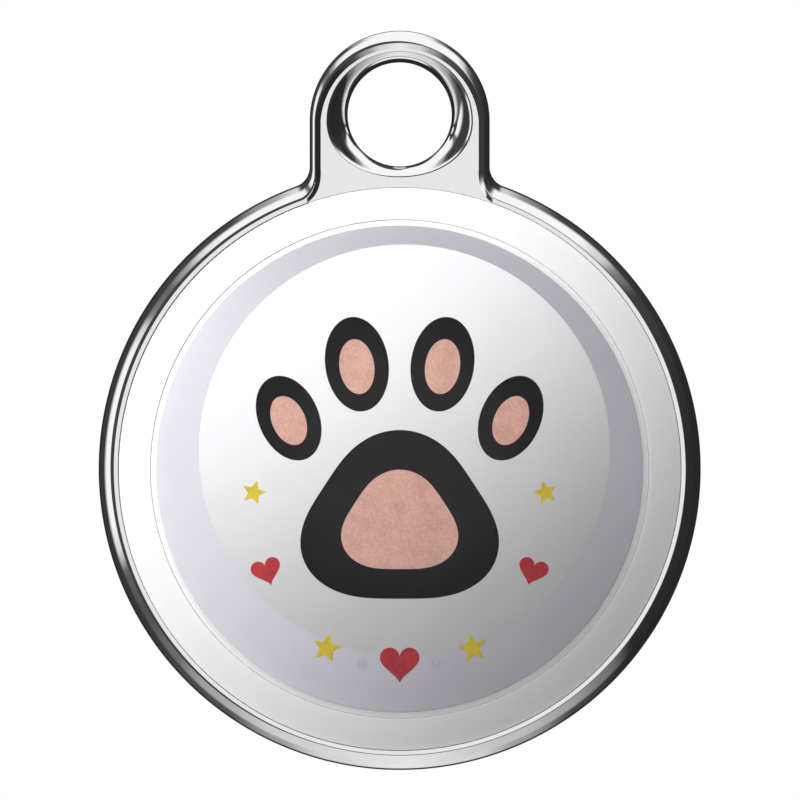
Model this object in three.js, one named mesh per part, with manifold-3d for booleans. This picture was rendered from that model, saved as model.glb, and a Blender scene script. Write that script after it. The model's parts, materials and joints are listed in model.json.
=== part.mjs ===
// Pet tracker tag: a chromed frame with a collar loop, a printed face under a clear dome that
// presses like a button, and a coin cell behind a cover that twists off at the back.
//
// Millimetres. Every piece is modelled around the centre of the disc with its front towards +Z
// and the loop towards +Y. The groups at the end hang the tag by its loop, with the loop up (+Z),
// the front towards -Y and the origin in the middle of the loop's hole.

import * as THREE from 'three';
import { ParametricGeometry } from 'three/addons/geometries/ParametricGeometry.js';
import { mergeVertices } from 'three/addons/utils/BufferGeometryUtils.js';
import Module from 'manifold-3d';

const wasm = await Module();
wasm.setup();

// Loop of the frame, seen from the front, with its hole's centre above the disc's edge
const holeRise = 3.33;
const holeRadius = 3.28;
const loopRadius = 5.68;
const loopArcBelowHole = 0.42;
const loopFillet = 1.26;

// Section of the frame's rim: a broad roll outside, a crest, and a short lip towards the face
const frameThickness = 3.2;
const rimRoll = 1.01;
const rimRollDepth = 1.0;
const rimLip = 0.28;
const rimLipDrop = 0.35;
const loopRoll = 0.34;
const loopRollDepth = 0.5;
const loopLip = 0.3;
const loopLipDrop = 0.15;
const backRound = 0.5;

// Dish in front of the loop's hole, with an ellipse for its outline, and the flare behind it
const dishHalfWidth = 4.62;
const dishHalfHeight = 3.98;
const dishDepth = 0.6;
const neckWidth = 0.2;
const neckDrop = 0.5;
const backFlareWidth = 1.2;
const backFlareDepth = 1.1;

// Drum behind the rim, open at the front and with a lip at the back
const drumInset = 0.55;
const drumWall = 1.15;
const drumBackRound = 1.0;
const rearLipWidth = 1.0;
const rearLipThickness = 0.7;
const keyWidth = 2.0;
const keyHeight = 0.4;

// Clearances: a seated face, a bonded film, and pieces that run past each other
const seatGap = 0.05;
const bondGap = 0.02;
const runGap = 0.1;

// Face: the fixed ring, the lens, the print and the plate that presses
const domeRadius = 190;
const ringWidth = 1.96;
const ringThickness = 1.2;
const ringEdgeRound = 0.12;
const skirtWall = 0.55;
const lensChamfer = 0.25;
const printThickness = 0.15;
const plateRise = 0.23;
const plateFlange = 0.55;
const plateFlangeGap = 0.15;
const platePocketDepth = 0.35;
const platePocketMargin = 3.4;
const pressTravel = 0.25;
const pressMargin = 0.15;

// Chassis, guide pins and the soft seal behind the face
const chassisThickness = 0.9;
const wellWall = 0.7;
const pinRadius = 0.6;
const pinHeight = 0.65;
const guideAngles = [0, 180];
const sealWidth = 0.5;
const sealInset = 0.25;
const sealDepth = 0.42;
const grooveRoom = 0.05;

// Board and what is soldered to it
const boardWidth = 5.0;
const boardThickness = 0.8;
const boardMargin = 0.15;
const boardInnerGap = 0.35;
const solderGap = 0.03;
const switchSide = 3.0;
const switchHeight = 0.72;
const switchAngle = 90;
const switchWindowGap = 0.15;
const plungerRadius = 0.75;
const plungerLength = 0.7;
const chipHeight = 0.8;
const radioChipSide = 4.4;
const radioChipAngle = 208;
const powerChipSide = 3.0;
const powerChipAngle = 325;
const crystalLength = 2.0;
const crystalWidth = 1.6;
const crystalAngle = 235;
const antennaWidth = 0.8;
const antennaThickness = 0.14;
const antennaFromAngle = 200;
const antennaToAngle = 340;
const antennaEndPlay = 1;
const antennaToSeal = 0.6;
const antennaLegSide = 0.7;
const antennaLegIn = 2;

// Piezo buzzer, glued in a pocket of the chassis
const buzzerRadius = 7.6;
const buzzerThickness = 0.2;
const ceramicInset = 2.0;
const ceramicThickness = 0.18;
const leadWidth = 0.8;
const leadThickness = 0.1;
const leadOverlap = 1.0;
const leadStep = 0.6;
const brassMargin = 0.3;
const ceramicLeadAngle = 45;
const brassLeadAngle = 225;

// Coin cell of 20 mm by 3.2 mm, and its spring contacts
const cellRadius = 10;
const cellThickness = 3.2;
const cellCapInset = 1.4;
const cellCapHeight = 0.25;
const cellCapDepth = 0.3;
const cellRound = 0.25;
const cellGasketWidth = 0.3;
const cellRoom = 0.3;
const contactRoom = 0.6;
const contactThickness = 0.15;
const contactSlotGap = 0.2;
const negativeContactWidth = 2.5;
const negativeContactBow = 3.0;
const negativeAngles = [90, 270];
const positiveContactWidth = 2.2;
const positiveAngles = [0, 180];

// Rear housing, with its bayonet, and the cover that twists off
const housingWall = 0.7;
const housingFloor = 1.25;
const spigotWall = 1.15;
const lugReach = 0.85;
const lugThickness = 0.45;
const lugRoot = 0.2;
const lugAngle = 22;
const notchAngle = 28;
const twistAngle = 30;
const stopPlay = 0.5;
const ledgeThickness = 0.55;
const tubeWall = 0.9;
const coverRimWidth = 0.5;
const coverThickness = 0.85;
const coverEdgeRound = 0.3;
const coinRadius = 30;
const coinSlotWidth = 1.9;
const coinSlotDepth = 0.55;
const padRadius = 7.5;
const padThickness = 0.15;
const sealSection = 0.58;
const grooveWidth = 0.65;
const grooveWall = 0.15;
const grooveLip = 0.2;
const bayonetAngles = [30, 150, 270];

// Screws that close the rear housing onto the chassis
const screwAngles = [30, 150, 270];
const screwHeadRadius = 1.1;
const screwHeadHeight = 0.52;
const screwBevel = 0.2;
const screwRadius = 0.7;
const screwLength = 2.9;
const postRadius = 1.2;

// How far a cut runs past the face that it opens
const cutPast = 1;

// Facets round a full turn, on what shows, on what is inside and on small round pieces
const outerFacets = 54;
const innerFacets = 36;
const smallFacets = 12;
const coinFacets = 150;
const sectorFacetAngle = 10;

// Facets along the rim, on the loop's arc and on each fillet, and steps over its roll and lip
const loopFacets = 16;
const filletFacets = 4;
const rollSteps = 4;
const lipSteps = 2;
const dishSteps = 4;

// Radii from the cell outwards to the edge of the disc
const cellCapRadius = cellRadius - cellCapInset;
const wellRadius = cellRadius + cellRoom;
const wellOuterRadius = wellRadius + wellWall;
const boardInnerRadius = wellOuterRadius + boardInnerGap;
const boardOuterRadius = boardInnerRadius + boardWidth;
const boardMiddleRadius = (boardInnerRadius + boardOuterRadius) / 2;
const housingInnerRadius = boardOuterRadius + boardMargin;
const housingRadius = housingInnerRadius + housingWall;
const boreRadius = housingRadius + runGap;
const rearLipRadius = boreRadius - rearLipWidth;
const drumRadius = boreRadius + drumWall;
const discRadius = drumRadius + drumInset;
const holeAboveDisc = discRadius + holeRise;

// Radii of the face, inwards from the rim, and of what carries it
const recessRadius = discRadius - rimRoll - rimLip + bondGap;
const ringRadius = recessRadius - seatGap;
const ringInnerRadius = ringRadius - ringWidth;
const faceRadius = ringInnerRadius - runGap;
const printRadius = faceRadius - lensChamfer;
const skirtInnerRadius = housingRadius - skirtWall;
const plateFlangeRadius = skirtInnerRadius - plateFlangeGap;
const sealRadius = plateFlangeRadius - sealInset - sealWidth;
const antennaRadius = sealRadius - antennaWidth - antennaToSeal;

// Radii of the cover and its bayonet, from the cell's well outwards
const spigotRadius = wellRadius + spigotWall;
const bayonetRadius = spigotRadius + runGap;
const lugRadius = spigotRadius + lugReach;
const channelRadius = lugRadius + runGap;
const tubeRadius = channelRadius + tubeWall;
const coverRadius = channelRadius + coverRimWidth;
const coverBoreRadius = coverRadius + runGap;
const postCircleRadius = (coverBoreRadius + rearLipRadius - runGap) / 2;
const leadEndRadius = boardInnerRadius - boardMargin;
const ceramicRadius = buzzerRadius - ceramicInset;

// Levels from the front to the back, each from the one before it
const crestZ = frameThickness / 2;
const frameBackZ = -frameThickness / 2;
const loopWebZ = crestZ - loopLipDrop;
const ringEdgeZ = crestZ - rimLipDrop;
const ringBackZ = ringEdgeZ - ringThickness;
const plateTopZ = ringBackZ + plateRise;
const printBackZ = plateTopZ + bondGap;
const printFrontZ = printBackZ + printThickness;
const lensBackZ = printFrontZ + seatGap;
const flangeFrontZ = ringBackZ - runGap;
const plateBackZ = flangeFrontZ - plateFlange;
const chassisFrontZ = plateBackZ - pressTravel - pressMargin;
const chassisBackZ = chassisFrontZ - chassisThickness;
const boardFrontZ = chassisBackZ - seatGap;
const boardBackZ = boardFrontZ - boardThickness;
const antennaFrontZ = chassisFrontZ - seatGap;
const switchBackZ = boardFrontZ + solderGap;
const plungerFrontZ = plateBackZ - seatGap;
const plungerBackZ = plungerFrontZ - plungerLength;
const buzzerFrontZ = chassisBackZ + buzzerThickness + ceramicThickness + bondGap + seatGap;
const ceramicFrontZ = buzzerFrontZ - buzzerThickness - bondGap;
const cellFrontZ = chassisBackZ - contactRoom;
const cellBackZ = cellFrontZ - cellThickness;
const cellShoulderZ = cellFrontZ - cellCapHeight;
const padFrontZ = cellBackZ - seatGap;
const padBackZ = padFrontZ - padThickness;
const coverFrontZ = padBackZ - seatGap;
const backZ = coverFrontZ - coverThickness;
const ledgeBackZ = coverFrontZ + seatGap;
const ledgeFrontZ = ledgeBackZ + ledgeThickness;
const lugBackZ = ledgeFrontZ + seatGap;
const lugFrontZ = lugBackZ + lugThickness;
const channelFrontZ = lugFrontZ + seatGap;
const grooveBackZ = lugFrontZ + grooveWall;
const grooveFrontZ = grooveBackZ + grooveWidth;
const spigotFrontZ = grooveFrontZ + grooveLip;
const tubeFrontZ = spigotFrontZ + seatGap;
const wellBackZ = spigotFrontZ + runGap;
const rearLipFrontZ = backZ + rearLipThickness;
const housingBackZ = backZ + seatGap;
const housingFloorZ = housingBackZ + housingFloor;
const postEndZ = housingFloorZ + seatGap;
const screwHeadBackZ = housingBackZ + seatGap;
const screwHeadFrontZ = screwHeadBackZ + screwHeadHeight;
const screwSeatZ = screwHeadFrontZ + bondGap;

// Small tools

const mix = (a, b, share) => a + (b - a) * share;
const radians = (degrees) => THREE.MathUtils.degToRad(degrees);
const onCircle = (radius, degrees) => [
  radius * Math.cos(radians(degrees)),
  radius * Math.sin(radians(degrees)),
];

// Volume of a closed mesh, which is below zero when its faces point inwards
function signedVolume(position, corners) {
  const a = new THREE.Vector3();
  const b = new THREE.Vector3();
  const c = new THREE.Vector3();
  let sum = 0;
  for (let i = 0; i < corners.length; i += 3) {
    a.fromBufferAttribute(position, corners[i]);
    b.fromBufferAttribute(position, corners[i + 1]);
    c.fromBufferAttribute(position, corners[i + 2]);
    sum += a.dot(b.cross(c));
  }
  return sum / 6;
}

// A solid from a closed geometry, with its seams merged and its faces pointing out
function solid(geometry) {
  const bare = new THREE.BufferGeometry();
  bare.setAttribute('position', geometry.getAttribute('position'));
  bare.setIndex(geometry.index);
  const merged = mergeVertices(bare);
  const position = merged.getAttribute('position');
  const corners = [];
  for (let i = 0; i < merged.index.count; i += 3) {
    const [a, b, c] = [0, 1, 2].map((corner) => merged.index.getX(i + corner));
    if (a !== b && b !== c && c !== a) {
      corners.push(a, b, c);
    }
  }
  if (signedVolume(position, corners) < 0) {
    corners.reverse();
  }
  return new wasm.Manifold(new wasm.Mesh({
    numProp: 3,
    vertProperties: new Float32Array(position.array),
    triVerts: new Uint32Array(corners),
  }));
}

// A profile of [radius, z] points turned about the Z axis; one off the axis closes on itself
function revolve(profile, facets = innerFacets) {
  const points = profile.map(([radius, z]) => new THREE.Vector2(radius, z));
  if (profile[0][0] > 0) {
    points.push(points[0].clone());
  }
  return solid(new THREE.LatheGeometry(points, facets).rotateX(Math.PI / 2));
}

function cylinder(radius, lowZ, highZ, [x, y] = [0, 0], facets = smallFacets) {
  const geometry = new THREE.CylinderGeometry(radius, radius, highZ - lowZ, facets);
  geometry.rotateX(Math.PI / 2);
  geometry.translate(x, y, (lowZ + highZ) / 2);
  return solid(geometry);
}

// A box set radially: its middle at a radius and angle, its length along the radius
function radialBox(length, width, lowZ, highZ, radius, degrees) {
  const geometry = new THREE.BoxGeometry(length, width, highZ - lowZ);
  geometry.translate(radius, 0, (lowZ + highZ) / 2);
  geometry.rotateZ(radians(degrees));
  return solid(geometry);
}

function prism(shape, lowZ, highZ, curveSegments) {
  const geometry = new THREE.ExtrudeGeometry(shape, {
    depth: highZ - lowZ,
    bevelEnabled: false,
    curveSegments,
  });
  return solid(geometry.translate(0, 0, lowZ));
}

// A piece of a ring between two radii and two angles
function sector(innerRadius, outerRadius, fromAngle, toAngle, lowZ, highZ) {
  const [from, to] = [radians(fromAngle), radians(toAngle)];
  const shape = new THREE.Shape();
  shape.absarc(0, 0, outerRadius, from, to, false);
  shape.absarc(0, 0, innerRadius, to, from, true);
  shape.closePath();
  const facets = Math.max(2, Math.round((toAngle - fromAngle) / sectorFacetAngle));
  return prism(shape, lowZ, highZ, facets);
}

// A bent metal strip: a centre line of [radius, z] points, standing in the plane of one angle
function strip(line, thickness, width, degrees) {
  const points = line.map(([radius, z]) => new THREE.Vector2(radius, z));
  const sideOf = (shift) => points.map((point, i) => {
    const before = points[Math.max(i - 1, 0)];
    const after = points[Math.min(i + 1, points.length - 1)];
    const along = after.clone().sub(before).normalize();
    return new THREE.Vector2(point.x - along.y * shift, point.y + along.x * shift);
  });
  const shape = new THREE.Shape([...sideOf(thickness / 2), ...sideOf(-thickness / 2).reverse()]);
  const geometry = new THREE.ExtrudeGeometry(shape, { depth: width, bevelEnabled: false });
  geometry.translate(0, 0, -width / 2);
  geometry.rotateX(Math.PI / 2);
  geometry.rotateZ(radians(degrees));
  return solid(geometry);
}

// Points along a quarter of an ellipse, from one end to the other, by sine and cosine
function quarter(steps, pointAt) {
  return Array.from({ length: steps + 1 }, (_, i) => {
    const angle = (Math.PI / 2) * (i / steps);
    return pointAt(Math.sin(angle), Math.cos(angle));
  });
}

// Frame: rim, loop and drum in one casting

// Points round the outline of disc and loop, each with its outward direction and with its place
// between the disc (0) and the loop (1)
function frameOutline() {
  const filletX = loopRadius + loopFillet;
  const filletY = Math.sqrt((discRadius + loopFillet) ** 2 - filletX ** 2);
  const meeting = Math.atan2(filletY, filletX);
  const loopArcY = holeAboveDisc - loopArcBelowHole;
  const outline = [];
  const arc = (x, y, radius, from, to, steps, placeAt, inwards = false) => {
    for (let i = 0; i < steps; i += 1) {
      const angle = mix(from, to, i / steps);
      const [dx, dy] = [Math.cos(angle), Math.sin(angle)];
      const facing = inwards ? -1 : 1;
      outline.push({
        x: x + radius * dx,
        y: y + radius * dy,
        outX: facing * dx,
        outY: facing * dy,
        onLoop: placeAt(i / steps),
      });
    }
  };
  const ease = (share) => THREE.MathUtils.smoothstep(share, 0, 1);
  arc(0, 0, discRadius, meeting, -Math.PI - meeting, outerFacets, () => 0);
  arc(-filletX, filletY, loopFillet, -meeting, 0, filletFacets, ease, true);
  outline.push({ x: -loopRadius, y: filletY, outX: -1, outY: 0, onLoop: 1 });
  arc(0, loopArcY, loopRadius, Math.PI, 0, loopFacets, () => 1);
  outline.push({ x: loopRadius, y: loopArcY, outX: 1, outY: 0, onLoop: 1 });
  const easeBack = (share) => 1 - ease(share);
  arc(filletX, filletY, loopFillet, Math.PI, Math.PI + meeting, filletFacets, easeBack, true);
  return outline;
}

// Section of the rim as [inset from the outline, z], from the foot of the lip over the crest and
// down to the back, and then back through the metal
function rimSection(onLoop) {
  const roll = mix(rimRoll, loopRoll, onLoop);
  const rollDepth = mix(rimRollDepth, loopRollDepth, onLoop);
  const lip = mix(rimLip, loopLip, onLoop);
  const drop = mix(rimLipDrop, loopLipDrop, onLoop) + bondGap / 2;
  const inside = 0.35;
  const sink = 0.1;
  return [
    ...quarter(lipSteps, (sin, cos) => [roll + lip * cos, crestZ - drop * (1 - sin)]).slice(0, -1),
    ...quarter(rollSteps, (sin, cos) => [roll * (1 - sin), crestZ - rollDepth * (1 - cos)]),
    ...quarter(lipSteps, (sin, cos) => [backRound * (1 - cos), frameBackZ + backRound * (1 - sin)]),
    [backRound + sink, frameBackZ],
    [backRound + inside, frameBackZ + sink],
    [roll + lip + inside, crestZ - drop - sink],
  ];
}

function rim() {
  const outline = frameOutline();
  const steps = outline.length;
  const sides = rimSection(0).length;
  const surface = (u, v, target) => {
    const at = outline[Math.round(u * steps) % steps];
    const [inset, z] = rimSection(at.onLoop)[Math.round(v * sides) % sides];
    target.set(at.x - at.outX * inset, at.y - at.outY * inset, z);
  };
  return solid(new ParametricGeometry(surface, steps, sides));
}

// Flat metal between the rim of the loop, its hole and the face
function loopWeb() {
  const half = loopRadius - backRound - bondGap;
  const footY = boreRadius - cutPast;
  const shape = new THREE.Shape();
  shape.moveTo(-half, footY);
  shape.lineTo(half, footY);
  shape.absarc(0, holeAboveDisc - loopArcBelowHole, half, 0, Math.PI, false);
  shape.closePath();
  return prism(shape, frameBackZ, loopWebZ, loopFacets / 2);
}

function drum() {
  const rootZ = (frameBackZ + crestZ) / 2;
  return revolve([
    [0, backZ],
    ...quarter(3, (sin, cos) => [
      drumRadius - drumBackRound * (1 - sin),
      backZ + drumBackRound * (1 - cos),
    ]),
    [drumRadius, rootZ],
    [0, rootZ],
  ], outerFacets);
}

// The space for the face and the module: recess, bore and the opening inside the rear lip
function frameBore() {
  return revolve([
    [0, backZ - cutPast],
    [rearLipRadius, backZ - cutPast],
    [rearLipRadius, rearLipFrontZ],
    [boreRadius, rearLipFrontZ],
    [boreRadius, ringBackZ - seatGap],
    [recessRadius, ringBackZ - seatGap],
    [recessRadius, crestZ + cutPast],
    [0, crestZ + cutPast],
  ], outerFacets);
}

// Hole, flare and dish as [radius, z] points at one angle round the hole, from the back up
function holeProfile(angle) {
  const across = Math.cos(angle) / dishHalfWidth;
  const along = Math.sin(angle) / dishHalfHeight;
  const outlineRadius = 1 / Math.hypot(across, along);
  const floorRadius = holeRadius + neckWidth;
  const floorZ = loopWebZ - dishDepth;
  const dish = Array.from({ length: dishSteps + 1 }, (_, i) => {
    const share = i / dishSteps;
    return [
      mix(floorRadius, outlineRadius, share),
      mix(floorZ, loopWebZ + bondGap, share ** 2),
    ];
  });
  return [
    [0, frameBackZ - cutPast],
    [holeRadius + backFlareWidth, frameBackZ - cutPast],
    ...quarter(3, (sin, cos) => [
      holeRadius + backFlareWidth * (1 - sin),
      frameBackZ + backFlareDepth * (1 - cos),
    ]),
    [holeRadius, floorZ - neckDrop],
    ...dish,
    [outlineRadius, crestZ + cutPast],
    [0, crestZ + cutPast],
  ];
}

function loopHole() {
  const sides = holeProfile(0).length - 1;
  const surface = (u, v, target) => {
    const angle = 2 * Math.PI * (Math.round(u * innerFacets) % innerFacets) / innerFacets;
    const [radius, z] = holeProfile(angle)[Math.round(v * sides)];
    target.set(radius * Math.cos(angle), holeAboveDisc + radius * Math.sin(angle), z);
  };
  return solid(new ParametricGeometry(surface, innerFacets, sides));
}

// The key in the bore, which the module's slots slide over so that the cover can't turn it
function keyRib(width, height, lowZ, highZ) {
  const rooted = drumWall / 2;
  return radialBox(height + rooted, width, lowZ, highZ, boreRadius + (rooted - height) / 2, 270);
}

function bezelFrame() {
  const key = keyRib(keyWidth, keyHeight, rearLipFrontZ - seatGap, ringBackZ - runGap * 2);
  return rim().add(loopWeb()).add(drum())
    .subtract(frameBore())
    .subtract(loopHole())
    .add(key);
}

// The slot that slides over the key, cut from a piece that fits the bore
function keySlot(lowZ, highZ) {
  return keyRib(keyWidth + runGap * 2, keyHeight + runGap, lowZ, highZ);
}

// Face

// Height of the domed front at a radius, level with the ring's edge at the ring's own radius
function domeZ(radius) {
  const fall = (r) => domeRadius - Math.sqrt(domeRadius ** 2 - r ** 2);
  return ringEdgeZ + fall(ringRadius) - fall(radius);
}

function faceRing() {
  const skirtBackZ = chassisFrontZ + seatGap;
  const ring = revolve([
    [ringInnerRadius, ringBackZ],
    [ringInnerRadius, domeZ(ringInnerRadius) - ringEdgeRound],
    [ringInnerRadius + ringEdgeRound, domeZ(ringInnerRadius + ringEdgeRound)],
    [ringRadius - ringEdgeRound, domeZ(ringRadius - ringEdgeRound)],
    [ringRadius, domeZ(ringRadius) - ringEdgeRound],
    [ringRadius, ringBackZ],
    [housingRadius, ringBackZ],
    [housingRadius, skirtBackZ],
    [skirtInnerRadius, skirtBackZ],
    [skirtInnerRadius, ringBackZ],
  ], outerFacets);
  return ring.subtract(keySlot(skirtBackZ - cutPast, ringBackZ - runGap));
}

function domeLens() {
  const steps = 3;
  const dome = Array.from({ length: steps + 1 }, (_, i) => {
    const radius = printRadius * (1 - i / steps);
    return [radius, domeZ(radius)];
  });
  return revolve([
    [0, lensBackZ],
    [faceRadius, lensBackZ],
    [faceRadius, domeZ(faceRadius) - lensChamfer],
    ...dome,
  ], outerFacets);
}

function printDisc() {
  return cylinder(printRadius, printBackZ, printFrontZ, [0, 0], outerFacets);
}

// Two holes in the plate run on the chassis's pins, which keep the face from turning
function pressPlate() {
  const pocketRadius = faceRadius - platePocketMargin;
  const plate = revolve([
    [0, plateTopZ],
    [faceRadius, plateTopZ],
    [faceRadius, flangeFrontZ],
    [plateFlangeRadius, flangeFrontZ],
    [plateFlangeRadius, plateBackZ],
    [pocketRadius, plateBackZ],
    [pocketRadius, plateBackZ + platePocketDepth],
    [0, plateBackZ + platePocketDepth],
  ]);
  const holeTopZ = chassisFrontZ + pinHeight + pressTravel + runGap;
  return guideAngles.reduce((left, angle) => left.subtract(cylinder(
    pinRadius + runGap,
    plateBackZ - cutPast,
    holeTopZ,
    onCircle(boardMiddleRadius, angle),
  )), plate);
}

// Chassis

const antennaLegAngle = antennaFromAngle + antennaLegIn;

function chassis() {
  const pocketZ = chassisBackZ + buzzerThickness + ceramicThickness + bondGap + seatGap * 2;
  const pocketRadius = buzzerRadius + runGap;
  let body = revolve([
    [0, chassisFrontZ],
    [housingRadius - seatGap, chassisFrontZ],
    [housingRadius - seatGap, chassisBackZ],
    [wellOuterRadius, chassisBackZ],
    [wellOuterRadius, wellBackZ],
    [wellRadius, wellBackZ],
    [wellRadius, chassisBackZ],
    [pocketRadius, chassisBackZ],
    [pocketRadius, pocketZ],
    [0, pocketZ],
  ]);
  for (const angle of screwAngles) {
    const at = onCircle(postCircleRadius, angle);
    const holeTopZ = postEndZ + screwLength;
    body = body
      .add(cylinder(postRadius, postEndZ, chassisBackZ + seatGap, at))
      .subtract(cylinder(screwRadius + seatGap, postEndZ - cutPast, holeTopZ, at));
  }
  for (const angle of guideAngles) {
    const at = onCircle(boardMiddleRadius, angle);
    body = body.add(cylinder(pinRadius, chassisFrontZ - seatGap, chassisFrontZ + pinHeight, at));
  }
  // A slot through the well's wall, for a contact or a lead of some width
  const wellCut = (width, depth, angle) => radialBox(
    wellWall + cutPast, width + contactSlotGap * 2,
    chassisBackZ - depth, chassisBackZ, (wellRadius + wellOuterRadius) / 2, angle,
  );
  const wellDepth = chassisBackZ - wellBackZ + cutPast;
  const leadRoom = contactThickness * 2;
  const sealGrooveZ = chassisFrontZ - sealDepth - bondGap;
  return wasm.Manifold.difference([
    body,
    radialBox(
      switchSide + switchWindowGap * 2, switchSide + switchWindowGap * 2,
      chassisBackZ - cutPast, chassisFrontZ + cutPast, boardMiddleRadius, switchAngle,
    ),
    revolve([
      [sealRadius - grooveRoom, sealGrooveZ],
      [sealRadius + sealWidth + grooveRoom, sealGrooveZ],
      [sealRadius + sealWidth + grooveRoom, chassisFrontZ + cutPast],
      [sealRadius - grooveRoom, chassisFrontZ + cutPast],
    ]),
    sector(
      antennaRadius - runGap, antennaRadius + antennaWidth + runGap,
      antennaFromAngle - antennaEndPlay, antennaToAngle + antennaEndPlay,
      antennaFrontZ - antennaThickness - bondGap, chassisFrontZ + cutPast,
    ),
    radialBox(
      antennaLegSide + runGap * 2, antennaLegSide + runGap * 2,
      chassisBackZ - cutPast, chassisFrontZ + cutPast,
      antennaRadius + antennaWidth / 2, antennaLegAngle,
    ),
    keySlot(chassisBackZ - cutPast, chassisFrontZ + cutPast),
    ...positiveAngles.map((angle) => wellCut(positiveContactWidth, wellDepth, angle)),
    ...negativeAngles.map((angle) => wellCut(negativeContactWidth, leadRoom, angle)),
    wellCut(leadWidth, leadRoom, ceramicLeadAngle),
    wellCut(leadWidth, leadRoom, brassLeadAngle),
  ]);
}

function faceSeal() {
  const lipZ = chassisFrontZ + pressMargin - bondGap * 3;
  const outerRadius = sealRadius + sealWidth;
  const shoulderZ = chassisFrontZ - sealDepth / 4;
  return revolve([
    [sealRadius, chassisFrontZ - sealDepth],
    [outerRadius, chassisFrontZ - sealDepth],
    [outerRadius, shoulderZ],
    [sealRadius + sealWidth / 2, lipZ],
    [sealRadius, shoulderZ],
  ]);
}

// Antenna: a strip round the lower half, with a leg down to the board
function antennaStrip() {
  const legBackZ = boardFrontZ + seatGap;
  return sector(
    antennaRadius, antennaRadius + antennaWidth,
    antennaFromAngle, antennaToAngle,
    antennaFrontZ - antennaThickness, antennaFrontZ,
  ).add(radialBox(
    antennaLegSide, antennaLegSide,
    legBackZ, antennaFrontZ - antennaThickness / 2,
    antennaRadius + antennaWidth / 2, antennaLegAngle,
  ));
}

// Board and components

function mainBoard() {
  const ring = revolve([
    [boardInnerRadius, boardBackZ],
    [boardOuterRadius, boardBackZ],
    [boardOuterRadius, boardFrontZ],
    [boardInnerRadius, boardFrontZ],
  ]);
  return screwAngles.reduce((left, angle) => left.subtract(cylinder(
    postRadius + boardMargin,
    boardBackZ - cutPast,
    boardFrontZ + cutPast,
    onCircle(postCircleRadius, angle),
  )), ring);
}

function chip(length, width, angle) {
  const frontZ = boardBackZ - solderGap;
  return radialBox(length, width, frontZ - chipHeight, frontZ, boardMiddleRadius, angle);
}

function switchCase() {
  const at = onCircle(boardMiddleRadius, switchAngle);
  const well = cylinder(
    plungerRadius + runGap,
    plungerBackZ - pressTravel - runGap,
    switchBackZ + switchHeight + cutPast,
    at,
  );
  return radialBox(
    switchSide, switchSide,
    switchBackZ, switchBackZ + switchHeight,
    boardMiddleRadius, switchAngle,
  ).subtract(well);
}

function switchPlunger() {
  return cylinder(
    plungerRadius, plungerBackZ, plungerFrontZ, onCircle(boardMiddleRadius, switchAngle),
  );
}

// Buzzer: a brass disc with a ceramic disc on its back, and a lead to each

function buzzerPlate() {
  return cylinder(buzzerRadius, buzzerFrontZ - buzzerThickness, buzzerFrontZ, [0, 0], innerFacets);
}

function buzzerCeramic() {
  return cylinder(ceramicRadius, ceramicFrontZ - ceramicThickness, ceramicFrontZ, [0, 0], innerFacets);
}

function ceramicLead() {
  const z = chassisBackZ - bondGap - leadThickness / 2;
  return strip([
    [ceramicRadius - leadOverlap, z],
    [leadEndRadius, z],
  ], leadThickness, leadWidth, ceramicLeadAngle);
}

function brassLead() {
  const z = chassisBackZ - bondGap - leadThickness / 2;
  const tipZ = buzzerFrontZ - buzzerThickness - bondGap - leadThickness / 2;
  return strip([
    [ceramicRadius + brassMargin, tipZ],
    [buzzerRadius - leadOverlap, tipZ],
    [buzzerRadius - leadOverlap + leadStep, z],
    [leadEndRadius, z],
  ], leadThickness, leadWidth, brassLeadAngle);
}

// Coin cell and contacts

function cellCan() {
  const mouthRadius = cellCapRadius + cellGasketWidth + seatGap;
  return revolve([
    [0, cellBackZ],
    [cellRadius - cellRound, cellBackZ],
    [cellRadius, cellBackZ + cellRound],
    [cellRadius, cellShoulderZ - cellRound],
    [cellRadius - cellRound, cellShoulderZ],
    [mouthRadius, cellShoulderZ],
    [mouthRadius, cellShoulderZ - cellCapDepth - seatGap],
    [0, cellShoulderZ - cellCapDepth - seatGap],
  ]);
}

function cellCap() {
  return revolve([
    [0, cellShoulderZ - cellCapDepth],
    [cellCapRadius, cellShoulderZ - cellCapDepth],
    [cellCapRadius, cellShoulderZ],
    [cellCapRadius - cellCapHeight, cellFrontZ],
    [0, cellFrontZ],
  ]);
}

function cellGasket() {
  const inner = cellCapRadius + bondGap;
  const outer = cellCapRadius + cellGasketWidth;
  const topZ = cellShoulderZ + cellCapHeight / 4;
  return revolve([
    [inner, cellShoulderZ - cellCapDepth],
    [outer, cellShoulderZ - cellCapDepth],
    [outer, topZ],
    [inner, topZ],
  ]);
}

// A leaf across the well that bows back to the cell's cap
function negativeContact() {
  const footZ = chassisBackZ - seatGap - contactThickness / 2;
  const bowZ = cellFrontZ + seatGap + contactThickness / 2;
  const footRadius = wellRadius - cellRoom * 3;
  return strip([
    [-leadEndRadius, footZ],
    [-footRadius, footZ],
    [-negativeContactBow, bowZ],
    [negativeContactBow, bowZ],
    [footRadius, footZ],
    [leadEndRadius, footZ],
  ], contactThickness, negativeContactWidth, negativeAngles[0]);
}

// A foot under the board and a leaf that stands against the side of the cell
function positiveContact(angle) {
  const footZ = boardBackZ - solderGap - contactThickness / 2;
  const leafRadius = cellRadius + runGap + contactThickness / 2;
  return strip([
    [boardMiddleRadius, footZ],
    [wellRadius + cellRoom, footZ],
    [leafRadius, footZ - cellRoom],
    [leafRadius, wellBackZ + runGap],
  ], contactThickness, positiveContactWidth, angle);
}

// Rear housing, cover and seals

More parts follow.
